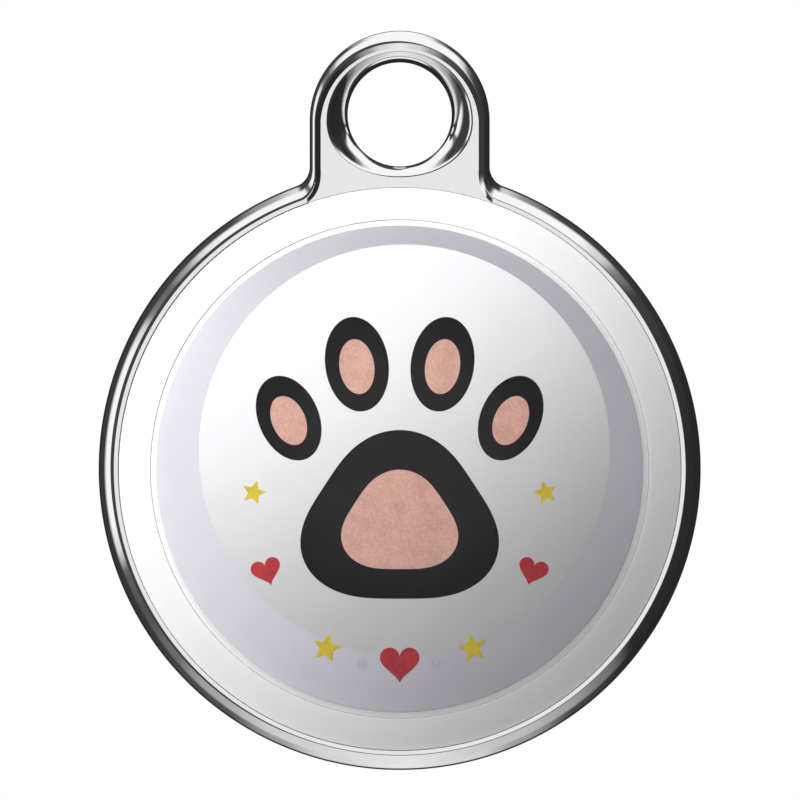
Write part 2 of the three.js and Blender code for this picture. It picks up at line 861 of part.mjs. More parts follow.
function rearHousing() {
  const stepZ = rearLipFrontZ + seatGap;
  const innerLipRadius = rearLipRadius - runGap;
  const cup = revolve([
    [bayonetRadius, tubeFrontZ],
    [tubeRadius, tubeFrontZ],
    [tubeRadius, housingFloorZ],
    [housingInnerRadius, housingFloorZ],
    [housingInnerRadius, chassisBackZ - seatGap],
    [housingRadius, chassisBackZ - seatGap],
    [housingRadius, stepZ],
    [innerLipRadius, stepZ],
    [innerLipRadius, housingBackZ],
    [coverBoreRadius, housingBackZ],
    [coverBoreRadius, ledgeBackZ],
    [bayonetRadius, ledgeBackZ],
  ]);
  // The lugs enter at a notch and run under the ledge to the locked place, against a stop
  const inner = bayonetRadius - cutPast;
  const cuts = bayonetAngles.flatMap((locked) => {
    const open = locked - twistAngle;
    return [
      sector(
        inner, channelRadius,
        open - notchAngle / 2, open + notchAngle / 2,
        ledgeBackZ - cutPast, channelFrontZ,
      ),
      sector(
        inner, channelRadius,
        open - notchAngle / 2, locked + lugAngle / 2 + stopPlay,
        ledgeFrontZ, channelFrontZ,
      ),
    ];
  });
  const screwCuts = screwAngles.flatMap((angle) => {
    const at = onCircle(postCircleRadius, angle);
    return [
      cylinder(screwRadius + runGap, housingBackZ - cutPast, housingFloorZ + cutPast, at),
      cylinder(screwHeadRadius + runGap, housingBackZ - cutPast, screwSeatZ, at),
    ];
  });
  return wasm.Manifold.difference([
    cup, ...cuts, ...screwCuts, keySlot(backZ - cutPast, chassisBackZ + cutPast),
  ]);
}

function housingScrew(angle) {
  const tipZ = screwHeadFrontZ + screwLength;
  return revolve([
    [0, screwHeadBackZ],
    [screwHeadRadius - screwBevel, screwHeadBackZ],
    [screwHeadRadius, screwHeadBackZ + screwBevel],
    [screwHeadRadius, screwHeadFrontZ],
    [screwRadius, screwHeadFrontZ],
    [screwRadius, tipZ - screwBevel],
    [screwRadius - screwBevel, tipZ],
    [0, tipZ],
  ], smallFacets).translate([...onCircle(postCircleRadius, angle), 0]);
}

function coverRing() {
  const grooveRadius = bayonetRadius - seatGap - sealSection - bondGap;
  const ring = revolve([
    [wellRadius, ledgeBackZ],
    [spigotRadius, ledgeBackZ],
    [spigotRadius, grooveBackZ],
    [grooveRadius, grooveBackZ],
    [grooveRadius, grooveFrontZ],
    [spigotRadius, grooveFrontZ],
    [spigotRadius, spigotFrontZ],
    [wellRadius, spigotFrontZ],
  ]);
  return bayonetAngles.reduce((left, locked) => left.add(sector(
    spigotRadius - lugRoot, lugRadius,
    locked - lugAngle / 2, locked + lugAngle / 2,
    lugBackZ, lugFrontZ,
  )), ring);
}

function coverSeal() {
  const radius = sealSection / 2;
  const steps = 6;
  const circle = Array.from({ length: steps }, (_, i) => {
    const angle = (2 * Math.PI * i) / steps;
    return [
      bayonetRadius - seatGap - radius * (1 - Math.cos(angle)),
      (grooveBackZ + grooveFrontZ) / 2 + radius * Math.sin(angle),
    ];
  });
  return revolve(circle);
}

function coverPad() {
  return cylinder(padRadius, padBackZ, padFrontZ, [0, 0], innerFacets);
}

function backCover() {
  const disc = revolve([
    [0, coverFrontZ],
    [coverRadius, coverFrontZ],
    ...quarter(2, (sin, cos) => [
      coverRadius - coverEdgeRound * (1 - cos),
      backZ + coverEdgeRound * (1 - sin),
    ]),
    [0, backZ],
  ], outerFacets);
  // A slot that a coin's edge fits, as deep as the coin reaches into the cover
  const coin = new THREE.CylinderGeometry(coinRadius, coinRadius, coinSlotWidth, coinFacets);
  coin.translate(0, 0, backZ + coinSlotDepth - coinRadius);
  return disc.subtract(solid(coin));
}

// Materials

const finish = (color, roughness, metalness, extra = {}) => new THREE.MeshStandardMaterial({
  color, roughness, metalness, ...extra,
});

const chrome = finish(0xd9dbdf, 0.06, 1);
const steel = finish(0xc4c6c9, 0.28, 1);
const brass = finish(0xc9a45a, 0.3, 1);
const copper = finish(0xc07a4d, 0.35, 1);
const nickel = finish(0xb9b6ad, 0.25, 1);
const whitePlastic = finish(0xf7f7f8, 0.15, 0);
const printedFilm = finish(0xe6e2ee, 0.3, 0);
const clearPlastic = finish(0xffffff, 0.03, 0, { transparent: true, opacity: 0.25 });
const greyPlastic = finish(0x8f9196, 0.5, 0);
const blackPlastic = finish(0x1c1c1f, 0.5, 0);
const rubber = finish(0x2a2a2c, 0.8, 0);
const circuitBoard = finish(0x1d5b3a, 0.45, 0);
const ceramic = finish(0xe9e6dc, 0.6, 0);
const foam = finish(0x3b3b3d, 0.95, 0);

// Assembly

const disc = new THREE.Group();
disc.position.y = -holeAboveDisc;

function place(name, body, material) {
  const { vertProperties, triVerts } = body.getMesh();
  const geometry = new THREE.BufferGeometry();
  geometry.setAttribute('position', new THREE.BufferAttribute(vertProperties, 3));
  geometry.setIndex(new THREE.BufferAttribute(triVerts, 1));
  geometry.computeVertexNormals();
  const mesh = new THREE.Mesh(geometry, material);
  mesh.name = name;
  disc.add(mesh);
}

place('bezel_frame', bezelFrame(), chrome);

place('face_ring', faceRing(), whitePlastic);
place('dome_lens', domeLens(), clearPlastic);
place('print_disc', printDisc(), printedFilm);
place('press_plate', pressPlate(), whitePlastic);
place('face_seal', faceSeal(), rubber);

place('chassis', chassis(), greyPlastic);
place('antenna_strip', antennaStrip(), copper);

place('main_board', mainBoard(), circuitBoard);
place('radio_chip', chip(radioChipSide, radioChipSide, radioChipAngle), blackPlastic);
place('clock_crystal', chip(crystalWidth, crystalLength, crystalAngle), nickel);
place('power_chip', chip(powerChipSide, powerChipSide, powerChipAngle), blackPlastic);
place('switch_case', switchCase(), blackPlastic);
place('switch_plunger', switchPlunger(), whitePlastic);

place('buzzer_plate', buzzerPlate(), brass);
place('buzzer_ceramic', buzzerCeramic(), ceramic);
place('buzzer_plate_lead', brassLead(), copper);
place('buzzer_ceramic_lead', ceramicLead(), copper);

place('cell_can', cellCan(), steel);
place('cell_cap', cellCap(), nickel);
place('cell_gasket', cellGasket(), blackPlastic);
place('negative_contact', negativeContact(), nickel);
positiveAngles.forEach((angle, i) => {
  place(`positive_contact_${i + 1}`, positiveContact(angle), nickel);
});

place('rear_housing', rearHousing(), greyPlastic);
screwAngles.forEach((angle, i) => {
  place(`housing_screw_${i + 1}`, housingScrew(angle), steel);
});

place('cover_ring', coverRing(), blackPlastic);
place('cover_seal', coverSeal(), rubber);
place('cover_pad', coverPad(), foam);
place('back_cover', backCover(), steel);

const tag = new THREE.Group();
tag.rotation.x = Math.PI / 2;
tag.add(disc);

export default tag;
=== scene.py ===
"""Looks of the pet tracker tag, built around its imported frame.

Shapes are worked out in millimetres around the centre of the disc: x to the right, y up towards
the loop and z out of the printed face. Their meshes are turned into the frame's metres last.
"""

import json
import math

import bmesh
import bpy
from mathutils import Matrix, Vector


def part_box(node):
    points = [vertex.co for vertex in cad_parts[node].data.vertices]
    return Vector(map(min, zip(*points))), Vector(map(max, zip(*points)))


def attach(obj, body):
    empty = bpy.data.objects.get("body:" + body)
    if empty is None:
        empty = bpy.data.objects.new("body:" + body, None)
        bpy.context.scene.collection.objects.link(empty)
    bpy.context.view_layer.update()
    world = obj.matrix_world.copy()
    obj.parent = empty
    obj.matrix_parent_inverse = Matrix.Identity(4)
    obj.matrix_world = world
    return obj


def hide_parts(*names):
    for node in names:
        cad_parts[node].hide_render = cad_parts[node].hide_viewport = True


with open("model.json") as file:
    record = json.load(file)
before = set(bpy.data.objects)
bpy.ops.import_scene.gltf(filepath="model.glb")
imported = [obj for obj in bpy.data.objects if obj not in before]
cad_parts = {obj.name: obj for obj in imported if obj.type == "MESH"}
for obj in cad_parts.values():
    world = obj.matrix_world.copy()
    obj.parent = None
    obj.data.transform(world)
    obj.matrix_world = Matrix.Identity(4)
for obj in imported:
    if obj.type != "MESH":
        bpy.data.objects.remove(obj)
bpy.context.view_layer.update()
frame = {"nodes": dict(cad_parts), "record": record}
nodes = frame["nodes"]

MM = 0.001

# Sizes that come from the frame, in millimetres


def box_mm(node):
    low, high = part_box(node)
    return low / MM, high / MM


frame_low, frame_high = box_mm("bezel_frame")
disc_radius = (frame_high.x - frame_low.x) / 2
disc_height = frame_low.z + disc_radius
hole_y = -disc_height
crest_z = -frame_low.y
rim_back_z = -crest_z
back_z = -frame_high.y

ring_low, ring_high = box_mm("face_ring")
ring_radius = (ring_high.x - ring_low.x) / 2
lens_low, lens_high = box_mm("dome_lens")
lens_back_z = -lens_high.y
lens_crown_z = -lens_low.y
film_low, film_high = box_mm("print_disc")
film_radius = (film_high.x - film_low.x) / 2
film_front_z = -film_low.y
cover_low, cover_high = box_mm("back_cover")
cover_radius = (cover_high.x - cover_low.x) / 2
cover_front_z = -cover_low.y

# Frame casting: outline, rim section and loop
loop_radius = 5.68
loop_arc_y = frame_high.z - disc_height - loop_radius
fillet_radius = 1.26
disc_roll = 1.04
disc_roll_depth = 1.0
disc_lip = 0.25
disc_lip_drop = 0.004
disc_lip_foot = 0.4
loop_roll = 0.4
loop_crown_roll = 0.4
loop_roll_depth = 0.5
loop_lip = 0.32
loop_lip_drop = 0.28
back_round = 0.5
web_drop = 0.27
web_z = crest_z - web_drop

# Hole of the loop, with a dish in front. The dish's outline is an ellipse round the middle of the
# loop's arc, and lower and squarer below that middle.
hole_radius = 3.28
dish_half_width = 4.6
dish_top_height = 4.42
dish_low_height = 3.54
dish_low_power = 2.08
dish_slope = 0.92
dish_flat_width = 0.72
dish_edge_round = 0.28
dish_edge_slope = 0.05
dish_run_out = 0.03
neck_width = 0.22
neck_low_width = 0.08
neck_narrows_from = -0.4
neck_slope = 2.3
neck_rows = (0, 0.06, 0.94)
back_flare_width = 1.2
back_flare_depth = 1.1

# Drum behind the rim, and the bore for the face and the module
drum_inset = 0.55
drum_wall = 1.15
drum_back_round = 1.0
rear_lip_width = 1.0
rear_lip_thickness = 0.7
ring_edge_drop = 0.35
ring_edge_height = 1.2
bond_gap = 0.05
key_width = 2.0
key_height = 0.4
key_root = 0.5
key_sink = 0.05
key_gap = 0.1
drum_radius = disc_radius - drum_inset
bore_radius = drum_radius - drum_wall
rear_lip_radius = bore_radius - rear_lip_width
rear_lip_front_z = back_z + rear_lip_thickness
ring_edge_z = crest_z - ring_edge_drop
ring_bond_z = ring_edge_z - ring_edge_height
recess_z = ring_bond_z - bond_gap

# How far joined pieces run into each other, and cutters past what they cut
overlap = 0.02
cutter_reach = 1.0
recess_radius = disc_radius - disc_roll - disc_lip + overlap

# Steps round a full turn and along short curves
turn_steps = 360
roll_steps = 20
lip_steps = 10
edge_steps = 6
cover_edge_steps = 8
broad_round_steps = 10
fillet_steps = 28
straight_steps = 8
loop_steps = 160
dish_steps = 32
dish_halvings = 40
ring_crown_steps = 8
dome_steps = 24
coin_steps = 720
mark_steps = 48
screw_steps = 72


def mix(a, b, share):
    return a + (b - a) * share


def smooth(share):
    share = min(max(share, 0), 1)
    return share * share * (3 - 2 * share)


def quarter(steps, point_at):
    """Points along a quarter turn, from sine 0 to sine 1."""
    angles = [math.pi / 2 * i / steps for i in range(steps + 1)]
    return [point_at(math.sin(angle), math.cos(angle)) for angle in angles]


# Meshes


def mesh_object(name, points, faces):
    mesh = bpy.data.meshes.new(name)
    mesh.from_pydata(points, [], faces)
    obj = bpy.data.objects.new(name, mesh)
    bpy.context.scene.collection.objects.link(obj)
    return obj


def face_outwards(obj):
    shape = bmesh.new()
    shape.from_mesh(obj.data)
    bmesh.ops.recalc_face_normals(shape, faces=shape.faces)
    shape.to_mesh(obj.data)
    shape.free()
    return obj


def lofted(name, rings):
    """Closed mesh through rings of the same count, which meets itself at its ends."""
    count = len(rings[0])
    points = [point for ring in rings for point in ring]
    faces = []
    for i in range(len(rings)):
        near = i * count
        far = ((i + 1) % len(rings)) * count
        for j in range(count):
            k = (j + 1) % count
            faces.append((near + j, near + k, far + k, far + j))
    return face_outwards(mesh_object(name, points, faces))


def turned(name, profile, steps=turn_steps, centre=(0, 0)):
    """Closed mesh of a [radius, z] profile turned round an axis along z.

    A profile that starts and ends on the axis closes there, and any other closes on itself.
    """
    on_axis = profile[0][0] == 0 and profile[-1][0] == 0
    ring_profile = profile[1:-1] if on_axis else profile
    points = []
    for radius, z in ring_profile:
        for i in range(steps):
            angle = 2 * math.pi * i / steps
            points.append((
                centre[0] + radius * math.cos(angle),
                centre[1] + radius * math.sin(angle),
                z,
            ))
    faces = []
    rows = len(ring_profile)
    for row in range(rows - 1 if on_axis else rows):
        near = row * steps
        far = ((row + 1) % rows) * steps
        for i in range(steps):
            j = (i + 1) % steps
            faces.append((near + i, near + j, far + j, far + i))
    if on_axis:
        for z, near in ((profile[0][1], 0), (profile[-1][1], (rows - 1) * steps)):
            points.append((centre[0], centre[1], z))
            pole = len(points) - 1
            faces.extend((near + i, near + (i + 1) % steps, pole) for i in range(steps))
    return face_outwards(mesh_object(name, points, faces))


def prism(name, outline, low_z, high_z, high_outline=None):
    """Closed mesh of a flat outline between two heights, where it may change its size."""
    count = len(outline)
    points = [(x, y, low_z) for x, y in outline]
    points += [(x, y, high_z) for x, y in high_outline or outline]
    faces = [tuple(range(count)), tuple(range(count, 2 * count))]
    for i in range(count):
        j = (i + 1) % count
        faces.append((i, j, count + j, count + i))
    return face_outwards(mesh_object(name, points, faces))


def sector(inner, outer, from_angle, to_angle, low_z, high_z):
    """A piece of a ring between two radii and two angles in degrees."""
    steps = max(2, round(to_angle - from_angle))
    angles = [math.radians(mix(from_angle, to_angle, i / steps)) for i in range(steps + 1)]
    outline = [(outer * math.cos(a), outer * math.sin(a)) for a in angles]
    outline += [(inner * math.cos(a), inner * math.sin(a)) for a in reversed(angles)]
    return prism("sector", outline, low_z, high_z)


def combined(base, others, operation):
    """The base joined with or cut by the others, which are used up."""
    for other in others:
        step = base.modifiers.new("combine", "BOOLEAN")
        step.solver = "MANIFOLD"
        step.operation = operation
        step.object = other
    result = bpy.data.meshes.new_from_object(
        base.evaluated_get(bpy.context.evaluated_depsgraph_get())
    )
    base.modifiers.clear()
    result.materials.clear()
    base.data = result
    for other in others:
        bpy.data.objects.remove(other)
    return base


def joined(base, *others):
    return combined(base, others, "UNION")


def cut(base, *others):
    return combined(base, others, "DIFFERENCE")


def crease_round_flats(mesh):
    """Makes the border of every flat that faces front or back a crease, so that it shades flat."""
    flat_from = 0.9999995
    shape = bmesh.new()
    shape.from_mesh(mesh)
    for edge in shape.edges:
        flats = [abs(face.normal.y) > flat_from for face in edge.link_faces]
        if any(flats) and not all(flats):
            edge.smooth = False
    shape.to_mesh(mesh)
    shape.free()


def finished(obj, body, material, replaced=(), sharp_degrees=30):
    """Puts a piece into the frame: in metres, shaded, painted and riding on its body."""
    mesh = obj.data
    for vertex in mesh.vertices:
        x, y, z = vertex.co
        vertex.co = (x * MM, -z * MM, (y + disc_height) * MM)
    mesh.polygons.foreach_set("use_smooth", [True] * len(mesh.polygons))
    mesh.set_sharp_from_angle(angle=math.radians(sharp_degrees))
    crease_round_flats(mesh)
    if not mesh.materials:
        mesh.materials.append(material)
    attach(obj, body)
    for node in replaced:
        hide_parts(node)
    return obj


# Node helpers


class Nodes:
    """Short calls for the nodes of one material or world."""

    def __init__(self, tree):
        self.tree = tree

    def add(self, kind, **settings):
        node = self.tree.nodes.new(kind)
        for key, value in settings.items():
            setattr(node, key, value)
        return node

    def link(self, source, target):
        self.tree.links.new(source, target)

    def feed(self, socket, value):
        if isinstance(value, bpy.types.NodeSocket):
            self.link(value, socket)
        else:
            socket.default_value = value

    def math(self, operation, first, second=0.0, third=0.0):
        node = self.add("ShaderNodeMath", operation=operation)
        self.feed(node.inputs[0], first)
        self.feed(node.inputs[1], second)
        self.feed(node.inputs[2], third)
        return node.outputs[0]

    def step_between(self, value, low, high, start=0.0, end=1.0):
        node = self.add("ShaderNodeMapRange", interpolation_type="SMOOTHSTEP")
        self.feed(node.inputs["Value"], value)
        node.inputs["From Min"].default_value = low
        node.inputs["From Max"].default_value = high
        node.inputs["To Min"].default_value = start
        node.inputs["To Max"].default_value = end
        return node.outputs["Result"]

    def blend(self, share, first, second):
        node = self.add("ShaderNodeMix", data_type="RGBA")
        self.feed(node.inputs["Factor"], share)
        self.feed(node.inputs["A"], first)
        self.feed(node.inputs["B"], second)
        return node.outputs["Result"]

    def blend_value(self, share, first, second):
        node = self.add("ShaderNodeMix", data_type="FLOAT")
        self.feed(node.inputs["Factor"], share)
        self.feed(node.inputs["A"], first)
        self.feed(node.inputs["B"], second)
        return node.outputs["Result"]

    def place(self):
        """Points of the piece in millimetres."""
        coordinate = self.add("ShaderNodeTexCoord")
        mapping = self.add("ShaderNodeMapping")
        mapping.inputs["Scale"].default_value = [1 / MM] * 3
        self.link(coordinate.outputs["Object"], mapping.inputs["Vector"])
        return mapping.outputs["Vector"]

    def noise(self, scale, detail=3.0):
        node = self.add("ShaderNodeTexNoise")
        node.inputs["Scale"].default_value = scale
        node.inputs["Detail"].default_value = detail
        self.link(self.place(), node.inputs["Vector"])
        return node.outputs["Fac"]

    def seen(self):
        """1 for what the camera sees straight or through clear plastic, and 0 for all other rays."""
        path = self.add("ShaderNodeLightPath")
        return self.math("MAXIMUM", path.outputs["Is Camera Ray"], path.outputs["Is Transmission Ray"])

    def find(self, kind):
        return next(node for node in self.tree.nodes if node.type == kind)


def grey(value):
    return (value, value, value, 1)


def new_material(name):
    material = bpy.data.materials.new(name)
    material.use_nodes = True
    material.node_tree.nodes.clear()
    graph = Nodes(material.node_tree)
    output = graph.add("ShaderNodeOutputMaterial")
    shader = graph.add("ShaderNodeBsdfPrincipled")
    graph.link(shader.outputs["BSDF"], output.inputs["Surface"])
    return material, graph, shader


# How the noise in the materials is made, and the values that it mostly lies between
noise_detail = 4.0
noise_low = 0.3
noise_high = 0.7
broadness = 6
fine_share = 0.6


def surface(name, color, shade, metallic, roughness, grain, bump, **extra):
    """A material that varies between two close colours, with grain and a fine bump.

    shade is how much darker the second colour is, roughness a pair, grain a noise scale per mm and
    bump a height in mm.
    """
    material, graph, shader = new_material(name)
    broad = graph.noise(grain / broadness, noise_detail)
    fine = graph.noise(grain, noise_detail)
    rest = graph.math("MULTIPLY", broad, 1 - fine_share)
    share = graph.step_between(
        graph.math("MULTIPLY_ADD", fine, fine_share, rest), noise_low, noise_high,
    )
    darker = [channel * (1 - shade) for channel in color] + [1]
    graph.link(graph.blend(share, [*color, 1], darker), shader.inputs["Base Color"])
    graph.link(graph.blend_value(share, *roughness), shader.inputs["Roughness"])
    shader.inputs["Metallic"].default_value = metallic
    for key, value in extra.items():
        shader.inputs[key.replace("_", " ")].default_value = value
    relief = graph.add("ShaderNodeBump")
    relief.inputs["Strength"].default_value = 1.0
    relief.inputs["Distance"].default_value = bump * MM
    graph.link(fine, relief.inputs["Height"])
    graph.link(relief.outputs["Normal"], shader.inputs["Normal"])
    return material


def painted_shade_towards(material, direction, low, high, low_share):
    """Paints shade into a material's colour, darker towards one side of the disc.

    It falls to low_share of itself from high down to low, in mm from the centre along direction.
    """
    graph = Nodes(material.node_tree)
    shader = graph.find("BSDF_PRINCIPLED")
    painted = shader.inputs["Base Color"].links[0].from_socket
    along = graph.add("ShaderNodeVectorMath", operation="DOT_PRODUCT")
    graph.link(graph.place(), along.inputs[0])
    along.inputs[1].default_value = direction
    centre = direction[2] * disc_height
    share = graph.step_between(along.outputs["Value"], low + centre, high + centre, low_share, 1.0)
    # Painted shade: the colour is scaled down towards the low side
    painted_shade = graph.add("ShaderNodeVectorMath", operation="SCALE")
    graph.link(painted, painted_shade.inputs[0])
    graph.link(share, painted_shade.inputs["Scale"])
    graph.link(painted_shade.outputs["Vector"], shader.inputs["Base Color"])


def let_light_through(material):
    """Keeps a material of clear plastic from casting a shadow on what lies behind it."""
    graph = Nodes(material.node_tree)
    shader = graph.find("BSDF_PRINCIPLED")
    output = graph.find("OUTPUT_MATERIAL")
    path = graph.add("ShaderNodeLightPath")
    clear = graph.add("ShaderNodeBsdfTransparent")
    both = graph.add("ShaderNodeMixShader")
    graph.link(path.outputs["Is Shadow Ray"], both.inputs["Fac"])
    graph.link(shader.outputs["BSDF"], both.inputs[1])
    graph.link(clear.outputs["BSDF"], both.inputs[2])
    graph.link(both.outputs["Shader"], output.inputs["Surface"])


def lathe_steel():
    """Steel with the fine rings that a lathe leaves around the disc's axis."""
    light = (0.66, 0.67, 0.68, 1)
    dark = (0.55, 0.56, 0.57, 1)
    rings_per_mm = 8.0
    ring_depth = 0.004
    material, graph, shader = new_material("lathe_steel")
    parts = graph.add("ShaderNodeSeparateXYZ")
    graph.link(graph.place(), parts.inputs["Vector"])
    across = parts.outputs["X"]
    up = graph.math("SUBTRACT", parts.outputs["Z"], disc_height)
    squares = graph.math("ADD", graph.math("MULTIPLY", across, across), graph.math("MULTIPLY", up, up))
    rings = graph.add("ShaderNodeTexNoise", noise_dimensions="1D")
    rings.inputs["Scale"].default_value = rings_per_mm
    rings.inputs["Detail"].default_value = noise_detail
    graph.link(graph.math("SQRT", squares), rings.inputs["W"])
    share = graph.step_between(rings.outputs["Fac"], noise_low, noise_high)
    graph.link(graph.blend(share, light, dark), shader.inputs["Base Color"])
    graph.link(graph.blend_value(graph.noise(3.0), 0.32, 0.44), shader.inputs["Roughness"])
    shader.inputs["Metallic"].default_value = 1.0
    relief = graph.add("ShaderNodeBump")
    relief.inputs["Distance"].default_value = ring_depth * MM
    graph.link(rings.outputs["Fac"], relief.inputs["Height"])
    graph.link(relief.outputs["Normal"], shader.inputs["Normal"])
    return material


def clear_plastic():
    """Clear plastic: what is behind it shows, under a gloss that grows towards grazing views."""
    gloss_share = 0.4
    smoothest = 0.02
    roughest = 0.035
    material, graph, shader = new_material("clear_plastic")
    graph.tree.nodes.remove(shader)
    clear = graph.add("ShaderNodeBsdfTransparent")
    gloss = graph.add("ShaderNodeBsdfGlossy")
    fresnel = graph.add("ShaderNodeFresnel")
    fresnel.inputs["IOR"].default_value = 1.46
    roughness = graph.step_between(graph.noise(3.0), noise_low, noise_high, smoothest, roughest)
    graph.link(roughness, gloss.inputs["Roughness"])
    tint = graph.blend(graph.noise(0.4), (0.97, 0.97, 0.975, 1), grey(0.985))
    graph.link(tint, clear.inputs["Color"])
    both = graph.add("ShaderNodeMixShader")
    graph.link(graph.math("MULTIPLY", fresnel.outputs["Fac"], gloss_share), both.inputs["Fac"])
    graph.link(clear.outputs["BSDF"], both.inputs[1])
    graph.link(gloss.outputs["BSDF"], both.inputs[2])
    graph.link(both.outputs["Shader"], graph.find("OUTPUT_MATERIAL").inputs["Surface"])
    return material


# Materials: colour, shade, metallic value, roughness, grain and bump of each

# Ink and film are bonded to what lies over them, so they mirror nearly nothing
bonded = {"Specular_IOR_Level": 0.1}

chrome = surface("chrome", (0.93, 0.935, 0.94), 0.03, 1.0, (0.02, 0.045), 2.5, 0.00002)
white_plastic = surface("white_plastic", (0.9, 0.9, 0.9), 0.02, 0.0, (0.1, 0.16), 3.0, 0.0002)
grey_plastic = surface("grey_plastic", (0.2, 0.205, 0.215), 0.25, 0.0, (0.42, 0.58), 14.0, 0.006)
black_plastic = surface("black_plastic", (0.02, 0.02, 0.022), 0.35, 0.0, (0.35, 0.5), 12.0, 0.003)
black_rubber = surface("black_rubber", (0.025, 0.025, 0.027), 0.3, 0.0, (0.6, 0.8), 9.0, 0.003)
copper = surface("copper", (0.72, 0.36, 0.2), 0.2, 1.0, (0.25, 0.4), 6.0, 0.001)
brass = surface("brass", (0.72, 0.52, 0.22), 0.18, 1.0, (0.22, 0.36), 6.0, 0.001)
nickel = surface("nickel", (0.66, 0.64, 0.59), 0.14, 1.0, (0.18, 0.3), 7.0, 0.0008)
steel = surface("steel", (0.62, 0.63, 0.64), 0.14, 1.0, (0.3, 0.4), 8.0, 0.0008)
ceramic = surface("ceramic", (0.8, 0.78, 0.72), 0.1, 0.0, (0.4, 0.55), 10.0, 0.001)
foam = surface("foam", (0.04, 0.04, 0.042), 0.4, 0.0, (0.85, 0.95), 5.0, 0.02)
circuit_board = surface("circuit_board", (0.02, 0.16, 0.07), 0.4, 0.0, (0.25, 0.4), 4.0, 0.004)
# The lens's frosted bevel is painted white: a painted highlight round the edge of the lens
lens_edge_highlight = surface("lens_edge_highlight", (0.95, 0.95, 0.95), 0.02, 0.0, (0.12, 0.2), 3.0, 0.0002)
lilac_film = surface("lilac_film", (0.712, 0.695, 0.748), 0.02, 0.0, (0.3, 0.4), 5.0, 0.0002, **bonded)
white_film = surface("white_film", (0.92, 0.92, 0.925), 0.015, 0.0, (0.3, 0.4), 5.0, 0.0002, **bonded)
ink_black = surface("ink_black", (0.012, 0.012, 0.014), 0.5, 0.0, (0.35, 0.5), 6.0, 0.0004, **bonded)
ink_peach = surface("ink_peach", (0.72, 0.42, 0.34), 0.25, 0.0, (0.35, 0.5), 6.0, 0.0004, **bonded)
ink_lilac = surface("ink_lilac", (0.6, 0.57, 0.68), 0.25, 0.0, (0.35, 0.5), 6.0, 0.0004, **bonded)
ink_red = surface("ink_red", (0.55, 0.05, 0.06), 0.35, 0.0, (0.35, 0.5), 6.0, 0.0004, **bonded)
ink_gold = surface("ink_gold", (0.75, 0.6, 0.06), 0.3, 0.0, (0.35, 0.5), 6.0, 0.0004, **bonded)
mark_paint = surface("mark_paint", (0.8, 0.8, 0.79), 0.06, 0.0, (0.4, 0.5), 6.0, 0.001)
lens_clear = clear_plastic()
cover_steel = lathe_steel()
let_light_through(lens_edge_highlight)

# Painted shade: the lilac is darker to the right and at the top, the white towards the lower right,
# where the light falls off
painted_shade_towards(lilac_film, (-1, 0, 0), -5, 15, 0.79)
painted_shade_towards(lilac_film, (-0.26, 0, -0.97), -14, -3, 0.82)
painted_shade_towards(white_film, (-0.4, 0, 0.92), -12, 14, 0.6)

slot_materials = {
    "chrome": chrome,
    "white_plastic": white_plastic,
    "clear_plastic": lens_clear,
    "printed_film": lilac_film,
    "black_rubber": black_rubber,
    "grey_plastic": grey_plastic,
    "black_plastic": black_plastic,
    "circuit_board": circuit_board,
    "copper": copper,
    "brass": brass,
    "nickel": nickel,
    "steel": steel,
    "ceramic": ceramic,
    "foam": foam,
}

for subpart in frame["record"]["subparts"]:
    node_mesh = nodes[subpart["node"]].data
    node_mesh.materials.clear()
    node_mesh.materials.append(slot_materials[subpart["material_slot"]])


# Frame casting


def frame_outline():
    """Points round disc and loop, with their outward direction and place from disc 0 to loop 1."""
    fillet_x = loop_radius + fillet_radius
    fillet_y = math.sqrt((disc_radius + fillet_radius) ** 2 - fillet_x ** 2)
    meeting = math.atan2(fillet_y, fillet_x)
    outline = []

    def arc(x, y, radius, start, end, steps, place_at, facing=1):
        for i in range(steps):
            angle = mix(start, end, i / steps)
            dx, dy = math.cos(angle), math.sin(angle)
            point = (x + radius * dx, y + radius * dy)
            outline.append((*point, facing * dx, facing * dy, place_at(i / steps)))

    arc(0, 0, disc_radius, meeting, -math.pi - meeting, turn_steps, lambda share: 0)
    arc(-fillet_x, fillet_y, fillet_radius, -meeting, 0, fillet_steps, smooth, -1)
    for i in range(straight_steps):
        y = mix(fillet_y, loop_arc_y, i / straight_steps)
        outline.append((-loop_radius, y, -1, 0, 1))
    arc(0, loop_arc_y, loop_radius, math.pi, 0, loop_steps, lambda share: 1)
    for i in range(straight_steps):
        y = mix(loop_arc_y, fillet_y, i / straight_steps)
        outline.append((loop_radius, y, 1, 0, 1))
    arc(
        fillet_x, fillet_y, fillet_radius, math.pi, math.pi + meeting, fillet_steps,
        lambda share: 1 - smooth(share), -1,
    )
    return outline


def rim_section(on_loop, on_crown):
    """Rim as [inset, z] points: up the lip, over the crest, down to the back and back inside.

    The lip is level on the disc and a bevel on the loop, whose roll is widest on top.
    """
    roll = mix(disc_roll, loop_roll, on_loop) + loop_crown_roll * on_crown
    roll_depth = mix(disc_roll_depth, loop_roll_depth, on_loop)
    lip = mix(disc_lip, loop_lip, on_loop)
    drop = mix(disc_lip_drop, loop_lip_drop, on_loop)
    least_foot = 0.001
    foot = mix(disc_lip_foot, 0, on_loop) + least_foot
    flat_width = 0.1
    inside = 0.3
    sink = 0.12
    lip_points = []
    for i in range(lip_steps):
        share = 1 - i / lip_steps
        lip_points.append((roll + lip * share, crest_z - drop * share))
    return (
        lip_points
        + quarter(roll_steps, lambda s, c: (roll * (1 - s), crest_z - roll_depth * (1 - c)))
        + quarter(lip_steps, lambda s, c: (back_round * (1 - c), rim_back_z + back_round * (1 - s)))
        + [
            (back_round + flat_width, rim_back_z),
            (back_round + inside, rim_back_z + sink),
            (roll + lip + inside, crest_z - drop - foot - sink),
            (roll + lip, crest_z - drop - foot),
        ]
    )


